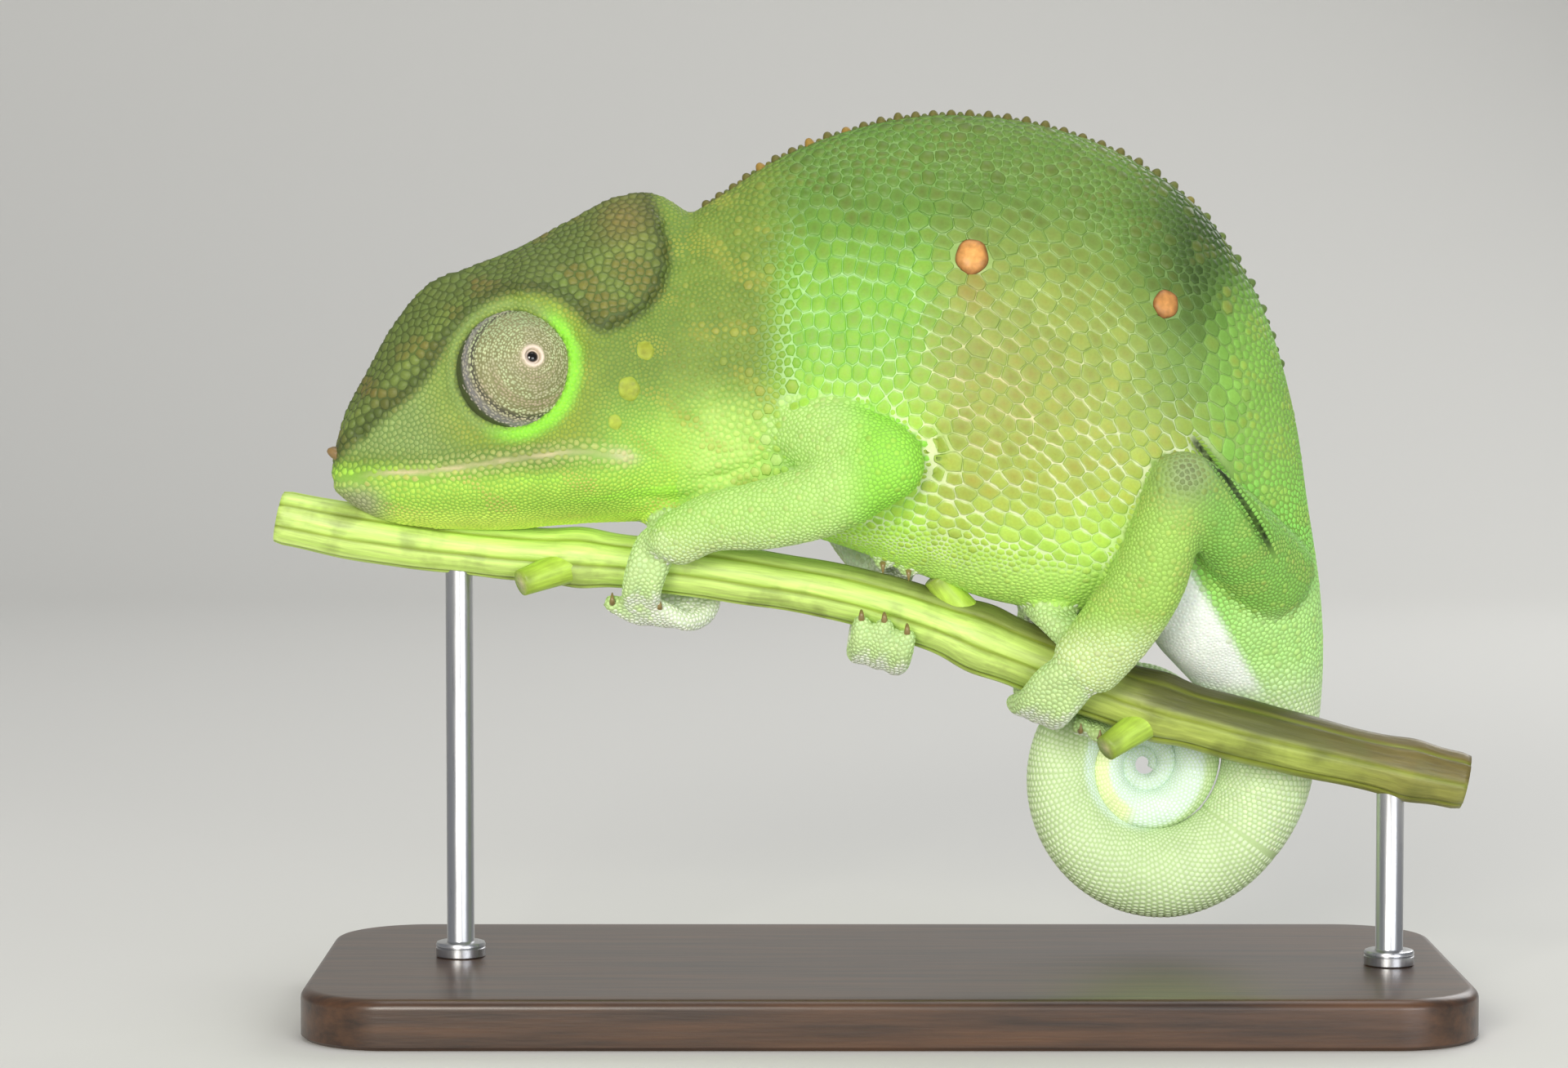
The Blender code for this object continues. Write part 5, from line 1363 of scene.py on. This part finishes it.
lid_skin = tinted_skin("eyelid_skin", 0.5, 0.3, 0.05, 0.14)
radii = np.linspace(EYE_RADIUS - 0.07, LID_OPENING, 88)
rim_height = turret_height(LID_OPENING)
dome = [(-EYE_BACK, 5.2), (-0.6, EYE_RADIUS - 0.12), *((turret_height(r), r) for r in radii)]
dome += [(rim_height - 0.3, LID_OPENING - 0.1), (rim_height - LID_DEPTH, LID_OPENING - 0.15)]
for side, name in ((-1, "left"), (1, "right")):
    columns = gaze_frame(side)
    centre = np.array([EYE[0], side * EYE[2], EYE[1]])
    turret = new_piece(f"turret_{name}", [closed_tube(turned(dome, 96, columns, centre))])
    points = read_points(turret.data)
    away, along, angle = eye_polar(points, side)
    coat = [np.tile(linear("#8C8C62"), (len(points), 1))]
    # Painted shade: a dark ring in the groove near the turret's edge and a dark band at its foot, where it meets the
    # socket
    laid(coat, bump(away - 5.5, 0.25), "#5E5C50")
    laid(coat, ease((away - 5.6) / 0.3), "#8C8A88")
    laid(coat, ease((away - 6.0) / 0.15), "#4A5432")
    laid(coat, bump(away - LID_OPENING - 0.1, 0.28), "#E6D2C0")
    set_tint(turret.data, coat[0])
    turret.data.materials.append(lid_skin)
    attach(turret, "root")
    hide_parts(f"eye_turret_{name}")

    # Granules in rings, each a small dome, finer towards the opening and uneven as real ones are
    draw = np.random.default_rng(31)
    flat, grain = [], []
    radius, ring_number = 1.2, 0
    while radius < EYE_RADIUS - 0.15:
        each = 0.23 + 0.1 * (radius - 1.2) / 4.7
        slope = math.sqrt(1 - min(0.94, (radius / EYE_RADIUS) ** 2))
        count = int(2 * math.pi * radius / (each * 1.3))
        turn = np.linspace(0, 2 * math.pi, count, endpoint=False) + ring_number * 0.37
        turn += draw.normal(0, 1.2, count) / count
        reach = radius + draw.normal(0, 0.045, count)
        flat.append(np.column_stack([reach * np.cos(turn), reach * np.sin(turn), reach]))
        grain.append(np.full(count, each) * draw.uniform(0.75, 1.2, count))
        radius += each * max(slope, 0.35)
        ring_number += 1
    flat, grain = np.vstack(flat), np.concatenate(grain)
    local = np.column_stack([flat[:, 0], flat[:, 1], turret_height(flat[:, 2])])
    grain_seeds = local @ columns.T + centre
    grain_normals = (local / np.linalg.norm(local, axis=1)[:, None]) @ columns.T
    round_way = np.column_stack([-flat[:, 1], flat[:, 0], np.zeros(len(flat))]) / flat[:, 2:3] @ columns.T
    in_way = np.cross(grain_normals, round_way)
    angles = np.linspace(0, 2 * math.pi, FINE_CORNERS, endpoint=False)
    outline = (np.cos(angles)[None, :, None] * (round_way * (grain * 0.62)[:, None])[:, None, :]
               + np.sin(angles)[None, :, None] * (in_way * (grain * 0.47)[:, None])[:, None, :])
    away, along, angle = eye_polar(grain_seeds, side)
    up = np.sin(np.radians(angle)) * away / EYE_RADIUS
    coat = [np.tile(linear("#C2CE9E"), (len(grain_seeds), 1))]
    laid(coat, ease(up * 1.6 - 0.2) * 0.75, "#9AAC7C")
    streak = waves(np.column_stack([away * 2.6, angle / 45, np.zeros(len(away))]), 3.0, 9)
    laid(coat, ease(0.5 + 0.6 * streak) * ease(0.5 - 1.2 * up) * 0.8, "#AE9C80")
    laid(coat, ease((waves(grain_seeds, 5, 40) + 0.1) * 1.5) * 0.4, "#BBA892")
    laid(coat, ease((away - 5.5) / 0.4) * 0.7, "#A8A09C")
    laid(coat, ease((2.2 - away) / 1.0) * 0.5, "#CDBEA4")
    colours = coat[0] * draw.uniform(0.9, 1.1, (len(grain_seeds), 1))
    turret_tree = surface_of(read_points(turret.data), triangles_of(turret.data).tolist())
    grains = scale_piece(f"lid_granules_{name}", grain_seeds, grain_normals, outline, turret_tree, grain * 0.15,
                         FINE_LEVELS, (colours, colours * 0.84, colours, np.zeros((len(grain), FINE_CORNERS))),
                         0.5 + 0.06 * flat[:, :2], lid_skin)


# Eyes
# The eyeball shows only through the lid's small opening: a black pupil in a narrow ring of pink iris, wet.
PUPIL_BALL = 0.94
PUPIL_RADIUS, IRIS_RING = 0.53, 0.67
wet_eye, tree_nodes, output = new_material("wet_eye")
tint = add(tree_nodes, "ShaderNodeVertexColor", layer_name="tint")
shader = add(tree_nodes, "ShaderNodeBsdfPrincipled", {
    "Base Color": tint.outputs["Color"], "Roughness": 0.08, "IOR": 1.38, "Coat Weight": 0.6,
    "Coat Roughness": 0.03,
})
tree_nodes.links.new(shader.outputs[0], output.inputs["Surface"])
for side, name in ((-1, "left"), (1, "right")):
    columns = gaze_frame(side)
    axis = gaze(side)
    centre = np.array([EYE[0], side * EYE[2], EYE[1]]) + axis * (rim_height - 0.17 - PUPIL_BALL)
    turn = np.radians(np.linspace(-86, 86, 32))
    ball = turned(np.column_stack([np.sin(turn), np.cos(turn)]) * PUPIL_BALL, 32, columns, centre)
    eye = new_piece(f"eyeball_{name}", [closed_tube(ball)])
    points = read_points(eye.data)
    offset = points - centre
    along = offset @ axis
    away = np.linalg.norm(offset - along[:, None] * axis, axis=1)
    coat = [np.tile(linear("#0B0908"), (len(points), 1))]
    laid(coat, np.where(along > 0, ease((away - PUPIL_RADIUS) * 12), 1.0), "#D8B49A")
    laid(coat, bump(away - IRIS_RING, 0.08), "#F4F0EC")
    set_tint(eye.data, coat[0])
    eye.data.materials.append(wet_eye)
    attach(eye, "root")
    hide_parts(f"eye_{name}")


# Crest, horn buds and claws
# The crest is a row of small cones of scale skin. The female's horns are mere buds at the snout's tip.
# Claws are short hooks of amber horn. All are tapered tubes on short curved paths.
HORN = (-55.7, 56.7, 0.85, 0.6, 0.9)
CREST_STEP = 1.7
horn_finish, tree_nodes, output = new_material("horn")
place = add(tree_nodes, "ShaderNodeTexCoord").outputs["Object"]
bands = add(tree_nodes, "ShaderNodeTexNoise", {"Vector": place, "Scale": 1 / (0.5 * MM), "Detail": 4.0})
tint = add(tree_nodes, "ShaderNodeVertexColor", layer_name="tint")
light = add(tree_nodes, "ShaderNodeMapRange", {"Value": bands.outputs["Fac"], "To Min": 0.7, "To Max": 1.25})
ground = add(tree_nodes, "ShaderNodeMix", {0: 1.0, 6: tint.outputs["Color"], 7: light.outputs[0]},
             data_type="RGBA", blend_type="MULTIPLY")
shader = add(tree_nodes, "ShaderNodeBsdfPrincipled", {"Base Color": ground.outputs[2], "Roughness": 0.32,
                                                      "IOR": 1.54})
tree_nodes.links.new(shader.outputs[0], output.inputs["Surface"])


def spikes(name, bases, tips, radii, colours, finish, bend=None, corners=10,
           widths=(1.15, 1.0, 0.8, 0.56, 0.36, 0.16)):
    """One mesh of tapered cones: each runs from base to tip on a curve, and its radius falls by the widths
    to a small rounded point."""
    shares = np.array([0.0, 0.3, 0.52, 0.72, 0.88, 0.98])
    widths = np.array(widths)
    parts, tints = [], []
    for i, (base, tip) in enumerate(zip(bases, tips)):
        axis = (tip - base) / np.linalg.norm(tip - base)
        guess = np.array([0.0, 1.0, 0.0]) if abs(axis[1]) < 0.8 else np.array([1.0, 0.0, 0.0])
        u = np.cross(axis, guess)
        u /= np.linalg.norm(u)
        v = np.cross(axis, u)
        middle = base + shares[:, None] * (tip - base)
        if bend is not None:
            middle = middle + (shares * (1 - shares))[:, None] * 4 * bend[i]
        angles = np.linspace(0, 2 * math.pi, corners, endpoint=False)
        ring = np.cos(angles)[:, None] * u + np.sin(angles)[:, None] * v
        rings = middle[:, None, :] + ring[None] * (widths * radii[i])[:, None, None]
        part = closed_tube(rings)
        parts.append(part)
        tints.append(np.tile(colours[i], (len(part[0]), 1)))
    made = new_piece(name, parts)
    set_tint(made.data, np.vstack(tints))
    made.data.materials.append(finish)
    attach(made, "root")
    return made


crest_places = np.arange(body_place(0.5), body_place(8.6), CREST_STEP / 2)
rows, ahead = smooth_rows(BODY, crest_places), smooth_rows(BODY, crest_places + 0.1)
tangent = ahead[:, 0:2] - rows[:, 0:2]
tangent /= np.linalg.norm(tangent, axis=1)[:, None]
outward = np.column_stack([-tangent[:, 1], tangent[:, 0]])
outward *= np.sign(np.einsum("ij,ij->i", outward, rows[:, 0:2] - rows[:, 2:4]))[:, None]
draw = np.random.default_rng(17)
main_cone = np.arange(len(crest_places)) % 2 == 0
tall = np.where(main_cone, 0.56, 0.24) * draw.uniform(0.7, 1.15, len(rows))
tall *= np.interp(crest_places, [body_place(0.5), body_place(1.8), body_place(7.4), body_place(8.6)],
                  [0.6, 1.0, 0.95, 0.45])
ridge_points = np.column_stack([rows[:, 0], rows[:, 5], rows[:, 1]])
outward3 = np.column_stack([outward[:, 0], np.zeros(len(rows)), outward[:, 1]])
coat = [np.tile(linear("#6A6632"), (len(rows), 1))]
laid(coat, (draw.random(len(rows)) < np.where(rows[:, 0] < 0, 0.35, 0.06)) * 0.7, "#A8823C")
laid(coat, ~main_cone * 0.7, "#5E6E36")
laid(coat, ease((crest_places - body_place(5.5)) / 18), "#627A3E")
crest = spikes("dorsal_crest", ridge_points - outward3 * 0.45, ridge_points + outward3 * tall[:, None],
               np.where(main_cone, 0.5, 0.36), coat[0], scaly_skin, widths=(1.25, 1.15, 1.0, 0.82, 0.58, 0.26))
crest_points = read_points(crest.data)
set_uv(crest.data, crest_points[:, [0, 2]] / 120 + (0.5, 0.0))

x, z, half, root, length = HORN
for side, name in ((-1, "left"), (1, "right")):
    base = np.array([x + 1.2, side * half, z - 0.4])
    tip = np.array([x - length - 0.1, side * half, z + 0.5])
    bud = spikes(f"horn_{name}", [base], [tip], [root * 1.15], [linear("#8A7046")], horn_finish, corners=16,
                 widths=(1.25, 1.15, 1.0, 0.82, 0.58, 0.26))
    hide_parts(f"horn_bud_{name}")

bases, tips, bends = [], [], []
for first, middle, last in claws:
    bases.append(first)
    tips.append(first + (last - first) * CLAW_SHOWN)
    bends.append((middle - (first + last) / 2) * 0.9)
claw_set = spikes("claws", bases, tips, np.full(len(bases), CLAW_ROOT * 0.8),
                  np.tile(linear("#8E7A4C"), (len(bases), 1)), horn_finish, bend=bends)


# Twig
# A green woody stem, cut at both ends: ribbed bark from the leaf bases down, a swelling at each leaf stalk,
# and the stalks cut short. The tube's radius carries the ribs, and the cuts show pale wood.
STALKS = ((-31.2, -1.0, -0.55, -0.35, 1.35, 4.2), (9.4, -0.8, -0.15, 1.0, 1.3, 4.0),
          (27.6, -1.0, -0.6, -0.6, 1.3, 4.2))
green_bark, tree_nodes, output = new_material("green_bark")
tint = add(tree_nodes, "ShaderNodeVertexColor", layer_name="tint")
way = add(tree_nodes, "ShaderNodeAttribute", attribute_name="way").outputs["Vector"]
stretch = add(tree_nodes, "ShaderNodeMapping", {"Vector": way, "Scale": (0.07, 1.0, 1.0)})
fibres = add(tree_nodes, "ShaderNodeTexNoise", {"Vector": stretch.outputs[0], "Scale": 1 / 0.42, "Detail": 5.0,
                                                "Roughness": 0.6})
patches = add(tree_nodes, "ShaderNodeTexNoise", {"Vector": way, "Scale": 1 / 5.0, "Detail": 4.0})
light = add(tree_nodes, "ShaderNodeMapRange", {"Value": fibres.outputs["Fac"], "From Min": 0.3, "From Max": 0.7,
                                               "To Min": 0.74, "To Max": 1.2})
ground = add(tree_nodes, "ShaderNodeMix", {0: 1.0, 6: tint.outputs["Color"], 7: light.outputs[0]},
             data_type="RGBA", blend_type="MULTIPLY")
brown = add(tree_nodes, "ShaderNodeMapRange", {"Value": patches.outputs["Fac"], "From Min": 0.55, "From Max": 0.72,
                                               "To Min": 0.0, "To Max": 0.5})
aged = add(tree_nodes, "ShaderNodeMix", {0: brown.outputs[0], 6: ground.outputs[2], 7: (*linear("#5F6530"), 1.0)},
           data_type="RGBA")
relief = add(tree_nodes, "ShaderNodeBump", {"Height": fibres.outputs["Fac"], "Strength": 0.6,
                                            "Distance": 0.1 * MM})
shader = add(tree_nodes, "ShaderNodeBsdfPrincipled", {"Base Color": aged.outputs[2], "Roughness": 0.4, "IOR": 1.45,
                                                      "Normal": relief.outputs[0]})
tree_nodes.links.new(shader.outputs[0], output.inputs["Surface"])

xs = np.linspace(TWIG[0][0], TWIG[-1][0], 60)
rows = smooth_rows(TWIG, xs)
SIDES, STALK_SIDES = 112, 28
rings = tube_rings(np.column_stack([xs, rows[:, :2]]), np.column_stack([rows[:, 2]] * 2), SIDES, 0.45)
centres = rings.mean(1)
angles = np.linspace(0, 2 * math.pi, SIDES, endpoint=False)
along = np.linspace(0, 1, len(rings))[:, None]
groove = bump(np.sin(3.5 * angles[None] + 0.7 * along + 0.5 + 0.25 * np.sin(9 * along)), 0.26)
ribs = 0.05 - 0.06 * groove + 0.012 * np.cos(9 * angles[None] - 4 * along)
swell = sum(0.12 * bump(centres[:, 0] - stalk[0], 2.4) for stalk in STALKS)
swell = swell + 0.1 * bump(centres[:, 0] - 53.0, 2.0)
lumps = 0.015 * np.sin(centres[:, 0] / 2.9 + 1.0) + 0.01 * np.sin(centres[:, 0] / 1.3)
factor = 0.97 + ribs + (swell + lumps)[:, None]
from_end = np.minimum(np.arange(len(rings)), np.arange(len(rings))[::-1])
factor = factor * (0.94 + 0.06 * np.clip(from_end / 2, 0, 1))[:, None]
rings = centres[:, None, :] + (rings - centres[:, None, :]) * factor[:, :, None]


def stem_way(rings):
    """For each point of a grid of rings, the length along the stem and its two offsets across it, in mm."""
    middle = rings.mean(1, keepdims=True)
    run = np.concatenate([[0], np.cumsum(np.linalg.norm(np.diff(middle[:, 0], axis=0), axis=1))])
    offset = rings - middle
    length = np.broadcast_to(run[:, None], rings.shape[:2])
    flat = np.stack([length, offset[:, :, 1], offset[:, :, 2]], axis=2).reshape(-1, 3)
    return np.vstack([flat, [run[0], 0, 0], [run[-1], 0, 0]])


parts, ways, tints = [closed_tube(rings)], [stem_way(rings)], []
x_of, up_of = rings[:, :, 0].ravel(), ((rings[:, :, 2] - centres[:, None, 2]) / 3).ravel()
coat = [np.tile(linear("#BCE060"), (len(x_of), 1))]
# Painted highlight: paler colour on the crests of the ribs
laid(coat, ease(ribs * 30 - 0.6).ravel() * 0.6, "#DCF490")
laid(coat, ease((x_of - 4) / 22) * 0.7, "#9AA046")
# Painted shade: the twig's upper side is painted darker, the more so from x 20 on
laid(coat, ease((up_of - 0.3) * 1.8) * ease((x_of + 18) / 26) * 0.8, "#55562A")
laid(coat, ease((up_of + 0.1) * 3) * ease((x_of - 20) / 8) * 0.85, "#47461F")
laid(coat, ease((x_of - 38) / 16) * 0.6, "#7A683C")
# Painted shade: darker colour in the grooves between the ribs
laid(coat, groove.ravel() * 0.75, "#7F8A2E")
tints.append(np.vstack([coat[0], np.tile(linear("#D9D3A0"), (2, 1))]))
for x, lean, side, rise, radius, length in STALKS:
    centre, thick = twig_at(x)
    way = np.array([lean, side, rise]) / np.linalg.norm([lean, side, rise])
    out = np.array([0, side, rise]) / np.linalg.norm([0, side, rise])
    start = centre + out * thick * 0.2
    path = [start, start + way * (thick + 0.3), start + way * (thick + length)]
    widths = [(radius * 1.5,) * 2, (radius * 1.25,) * 2, (radius,) * 2]
    stalk = tube_rings(path, widths, STALK_SIDES, 0.4, across=(1, 0.2, 0.1))
    parts.append(closed_tube(stalk))
    ways.append(stem_way(stalk))
    bark_tint = np.tile(linear("#B4D450"), (stalk.shape[0] * STALK_SIDES, 1))
    tints.append(np.vstack([bark_tint, np.tile(linear("#D9D3A0"), (2, 1))]))
twig = new_piece("twig", parts)
set_tint(twig.data, np.vstack(tints))
layer = twig.data.attributes.new("way", "FLOAT_VECTOR", "POINT")
layer.data.foreach_set("vector", np.vstack(ways).astype(np.float32).ravel())
twig.data.materials.append(green_bark)
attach(twig, "root")
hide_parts("perch_twig")


# Stand
# A flat base of dark stained beech with eased edges under satin lacquer, and two steel rods with collars.
# The board is its outline drawn in level by level, and a rod is a turned profile that runs into the twig.
stained_beech, tree_nodes, output = new_material("stained_beech")
place = add(tree_nodes, "ShaderNodeTexCoord").outputs["Object"]
stretch = add(tree_nodes, "ShaderNodeMapping", {"Vector": place, "Scale": (0.06, 1.0, 1.0)})
grain = add(tree_nodes, "ShaderNodeTexNoise", {"Vector": stretch.outputs[0], "Scale": 1 / (1.6 * MM),
                                               "Detail": 6.0, "Roughness": 0.65})
pores = add(tree_nodes, "ShaderNodeTexNoise", {"Vector": stretch.outputs[0], "Scale": 1 / (0.35 * MM),
                                               "Detail": 2.0})
ramp = add(tree_nodes, "ShaderNodeValToRGB", {"Fac": grain.outputs["Fac"]})
ramp.color_ramp.elements[0].position = 0.32
ramp.color_ramp.elements[0].color = (*linear("#2B1C12"), 1)
ramp.color_ramp.elements[1].position = 0.72
ramp.color_ramp.elements[1].color = (*linear("#5B3D26"), 1)
relief = add(tree_nodes, "ShaderNodeBump", {"Height": pores.outputs["Fac"], "Strength": 0.3,
                                            "Distance": 0.05 * MM})
shader = add(tree_nodes, "ShaderNodeBsdfPrincipled", {"Base Color": ramp.outputs[0], "Roughness": 0.38, "IOR": 1.5,
                                                      "Normal": relief.outputs[0], "Coat Weight": 0.25,
                                                      "Coat Roughness": 0.2})
tree_nodes.links.new(shader.outputs[0], output.inputs["Surface"])

brushed_rod, tree_nodes, output = new_material("brushed_steel_rod")
place = add(tree_nodes, "ShaderNodeTexCoord").outputs["Object"]
stretch = add(tree_nodes, "ShaderNodeMapping", {"Vector": place, "Scale": (1.0, 1.0, 0.05)})
lines = add(tree_nodes, "ShaderNodeTexNoise", {"Vector": stretch.outputs[0], "Scale": 1 / (0.25 * MM),
                                               "Detail": 2.0})
rough = add(tree_nodes, "ShaderNodeMapRange", {"Value": lines.outputs["Fac"], "To Min": 0.2, "To Max": 0.42})
shader = add(tree_nodes, "ShaderNodeBsdfPrincipled", {"Base Color": (*linear("#C3C4C6"), 1), "Metallic": 1.0,
                                                      "Roughness": rough.outputs[0]})
tree_nodes.links.new(shader.outputs[0], output.inputs["Surface"])
BASE_LENGTH, BASE_DEPTH, BASE_HEIGHT = 116.0, 50.0, 5.0
BASE_CORNER, BASE_EDGE = 9.0, 1.0
ROD_RADIUS, COLLAR_RADIUS, COLLAR_HEIGHT = 1.4, 2.55, 1.6
ROD_PLACES = (-43.6, 51.0)
turn = np.radians(np.linspace(0, 90, 25))
corner_ring = []
for corner, (cx, cy) in enumerate(((1, 1), (-1, 1), (-1, -1), (1, -1))):
    a = turn + corner * math.pi / 2
    corner_ring.append(np.column_stack([cx * (BASE_LENGTH / 2 - BASE_CORNER) + BASE_CORNER * np.cos(a),
                                        cy * (BASE_DEPTH / 2 - BASE_CORNER) + BASE_CORNER * np.sin(a)]))
outline = np.vstack(corner_ring)
inward = outline / (BASE_LENGTH / 2, BASE_DEPTH / 2)
bevel = np.radians(np.linspace(0, 90, 9))
levels = [(0.0, 0.4), (0.4, 0.0)]
levels += list(zip(BASE_HEIGHT - BASE_EDGE + BASE_EDGE * np.sin(bevel), BASE_EDGE * (1 - np.cos(bevel))))
levels += [(BASE_HEIGHT, 3.0)]
rings = np.array([
    np.column_stack([outline - inward * inset, np.full(len(outline), level)]) for level, inset in levels
])
base = new_piece("base_board", [closed_tube(rings)])
base.data.set_sharp_from_angle(angle=math.radians(35))
base.data.materials.append(stained_beech)
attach(base, "root")
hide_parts("stand_base")
for i, x in enumerate(ROD_PLACES):
    centre, _ = twig_at(x)
    foot = BASE_HEIGHT - 0.02
    profile = [(foot, COLLAR_RADIUS - 0.15), (foot + 0.15, COLLAR_RADIUS), (foot + 0.95, COLLAR_RADIUS),
               (foot + 1.05, COLLAR_RADIUS - 0.12), (foot + 1.15, COLLAR_RADIUS),
               (foot + COLLAR_HEIGHT - 0.3, COLLAR_RADIUS), (foot + COLLAR_HEIGHT - 0.08, COLLAR_RADIUS - 0.1),
               (foot + COLLAR_HEIGHT, COLLAR_RADIUS - 0.32), (foot + COLLAR_HEIGHT, ROD_RADIUS + 0.06),
               (foot + COLLAR_HEIGHT + 0.1, ROD_RADIUS), (centre[2] - 1.0, ROD_RADIUS)]
    rod = new_piece(f"support_rod_{i + 1}", [closed_tube(turned(profile, 64, np.eye(3), (x, centre[1], 0)))])
    rod.data.set_sharp_from_angle(angle=math.radians(35))
    rod.data.materials.append(brushed_rod)
    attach(rod, "root")
    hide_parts(f"stand_rod_{i + 1}")


# Studio
# A pale floor that curves up behind, soft lights from the front left, and the camera of the photograph.
FLOOR_HALF, WALL_AT, WALL_BEND, WALL_TOP = 1.4, 0.55, 0.25, 1.6
turn = np.linspace(0, math.pi / 2, 16)
profile = np.vstack([
    [(-1.4, 0.0)],
    np.column_stack([WALL_AT + WALL_BEND * np.sin(turn), WALL_BEND * (1 - np.cos(turn))]),
    [(WALL_AT + WALL_BEND, WALL_TOP)],
])
sweep = np.array([[(x, y, z) for y, z in profile] for x in (-FLOOR_HALF, FLOOR_HALF)]).reshape(-1, 3)
count = len(profile)
mesh = bpy.data.meshes.new("studio_sweep")
mesh.from_pydata(sweep.tolist(), [], [(j, j + count, j + count + 1, j + 1) for j in range(count - 1)])
mesh.shade_smooth()
sweep_paper, tree_nodes, output = new_material("studio_paper")
shader = add(tree_nodes, "ShaderNodeBsdfPrincipled", {"Base Color": (*linear("#DCDBD6"), 1), "Roughness": 0.85})
tree_nodes.links.new(shader.outputs[0], output.inputs["Surface"])
mesh.materials.append(sweep_paper)
backdrop = bpy.data.objects.new("studio_sweep", mesh)
bpy.context.scene.collection.objects.link(backdrop)


def soft_light(name, place, aim, size, power, colour="#FFFFFF"):
    """A square area light that looks at a point."""
    data = bpy.data.lights.new(name, "AREA")
    data.shape = "SQUARE"
    data.size = size
    data.energy = power
    data.color = linear(colour)
    made = bpy.data.objects.new(name, data)
    made.location = place
    made.rotation_euler = (Vector(aim) - Vector(place)).to_track_quat("-Z", "Y").to_euler()
    bpy.context.scene.collection.objects.link(made)


AIM = (-0.01, 0.0, 0.05)
soft_light("key", (-0.2, -0.7, 0.24), AIM, 0.26, 3.7, "#FFFBF2")
soft_light("fill", (0.36, -0.66, 0.06), AIM, 0.4, 3.0, "#F8FAFF")
soft_light("top", (0.05, 0.0, 0.8), AIM, 0.5, 2.0)
soft_light("back", (0.35, 0.5, 0.4), AIM, 0.35, 1.4)

world = bpy.data.worlds.new("studio")
world.use_nodes = True
world.node_tree.nodes["Background"].inputs["Color"].default_value = (0.9, 0.93, 1.0, 1.0)
world.node_tree.nodes["Background"].inputs["Strength"].default_value = 0.3
bpy.context.scene.world = world
bpy.context.scene.view_settings.view_transform = "Standard"

LENS, SENSOR = 100.0, 36.0
PIXEL = 0.083  # mm of the object for each pixel of the photograph
IMAGE_WIDTH = 1920
ELEVATION = math.radians(3.5)
distance = PIXEL * IMAGE_WIDTH * LENS / SENSOR * MM
target = Vector((-10.4, 0.0, 48.6)) * MM
camera_data = bpy.data.cameras.new("camera")
camera_data.lens = LENS
camera_data.sensor_width = SENSOR
camera_data.clip_start = 0.01
camera = bpy.data.objects.new("camera", camera_data)
camera.location = target + distance * Vector((0, -math.cos(ELEVATION), math.sin(ELEVATION)))
camera.rotation_euler = (target - camera.location).to_track_quat("-Z", "Y").to_euler()
bpy.context.scene.collection.objects.link(camera)
bpy.context.scene.camera = camera
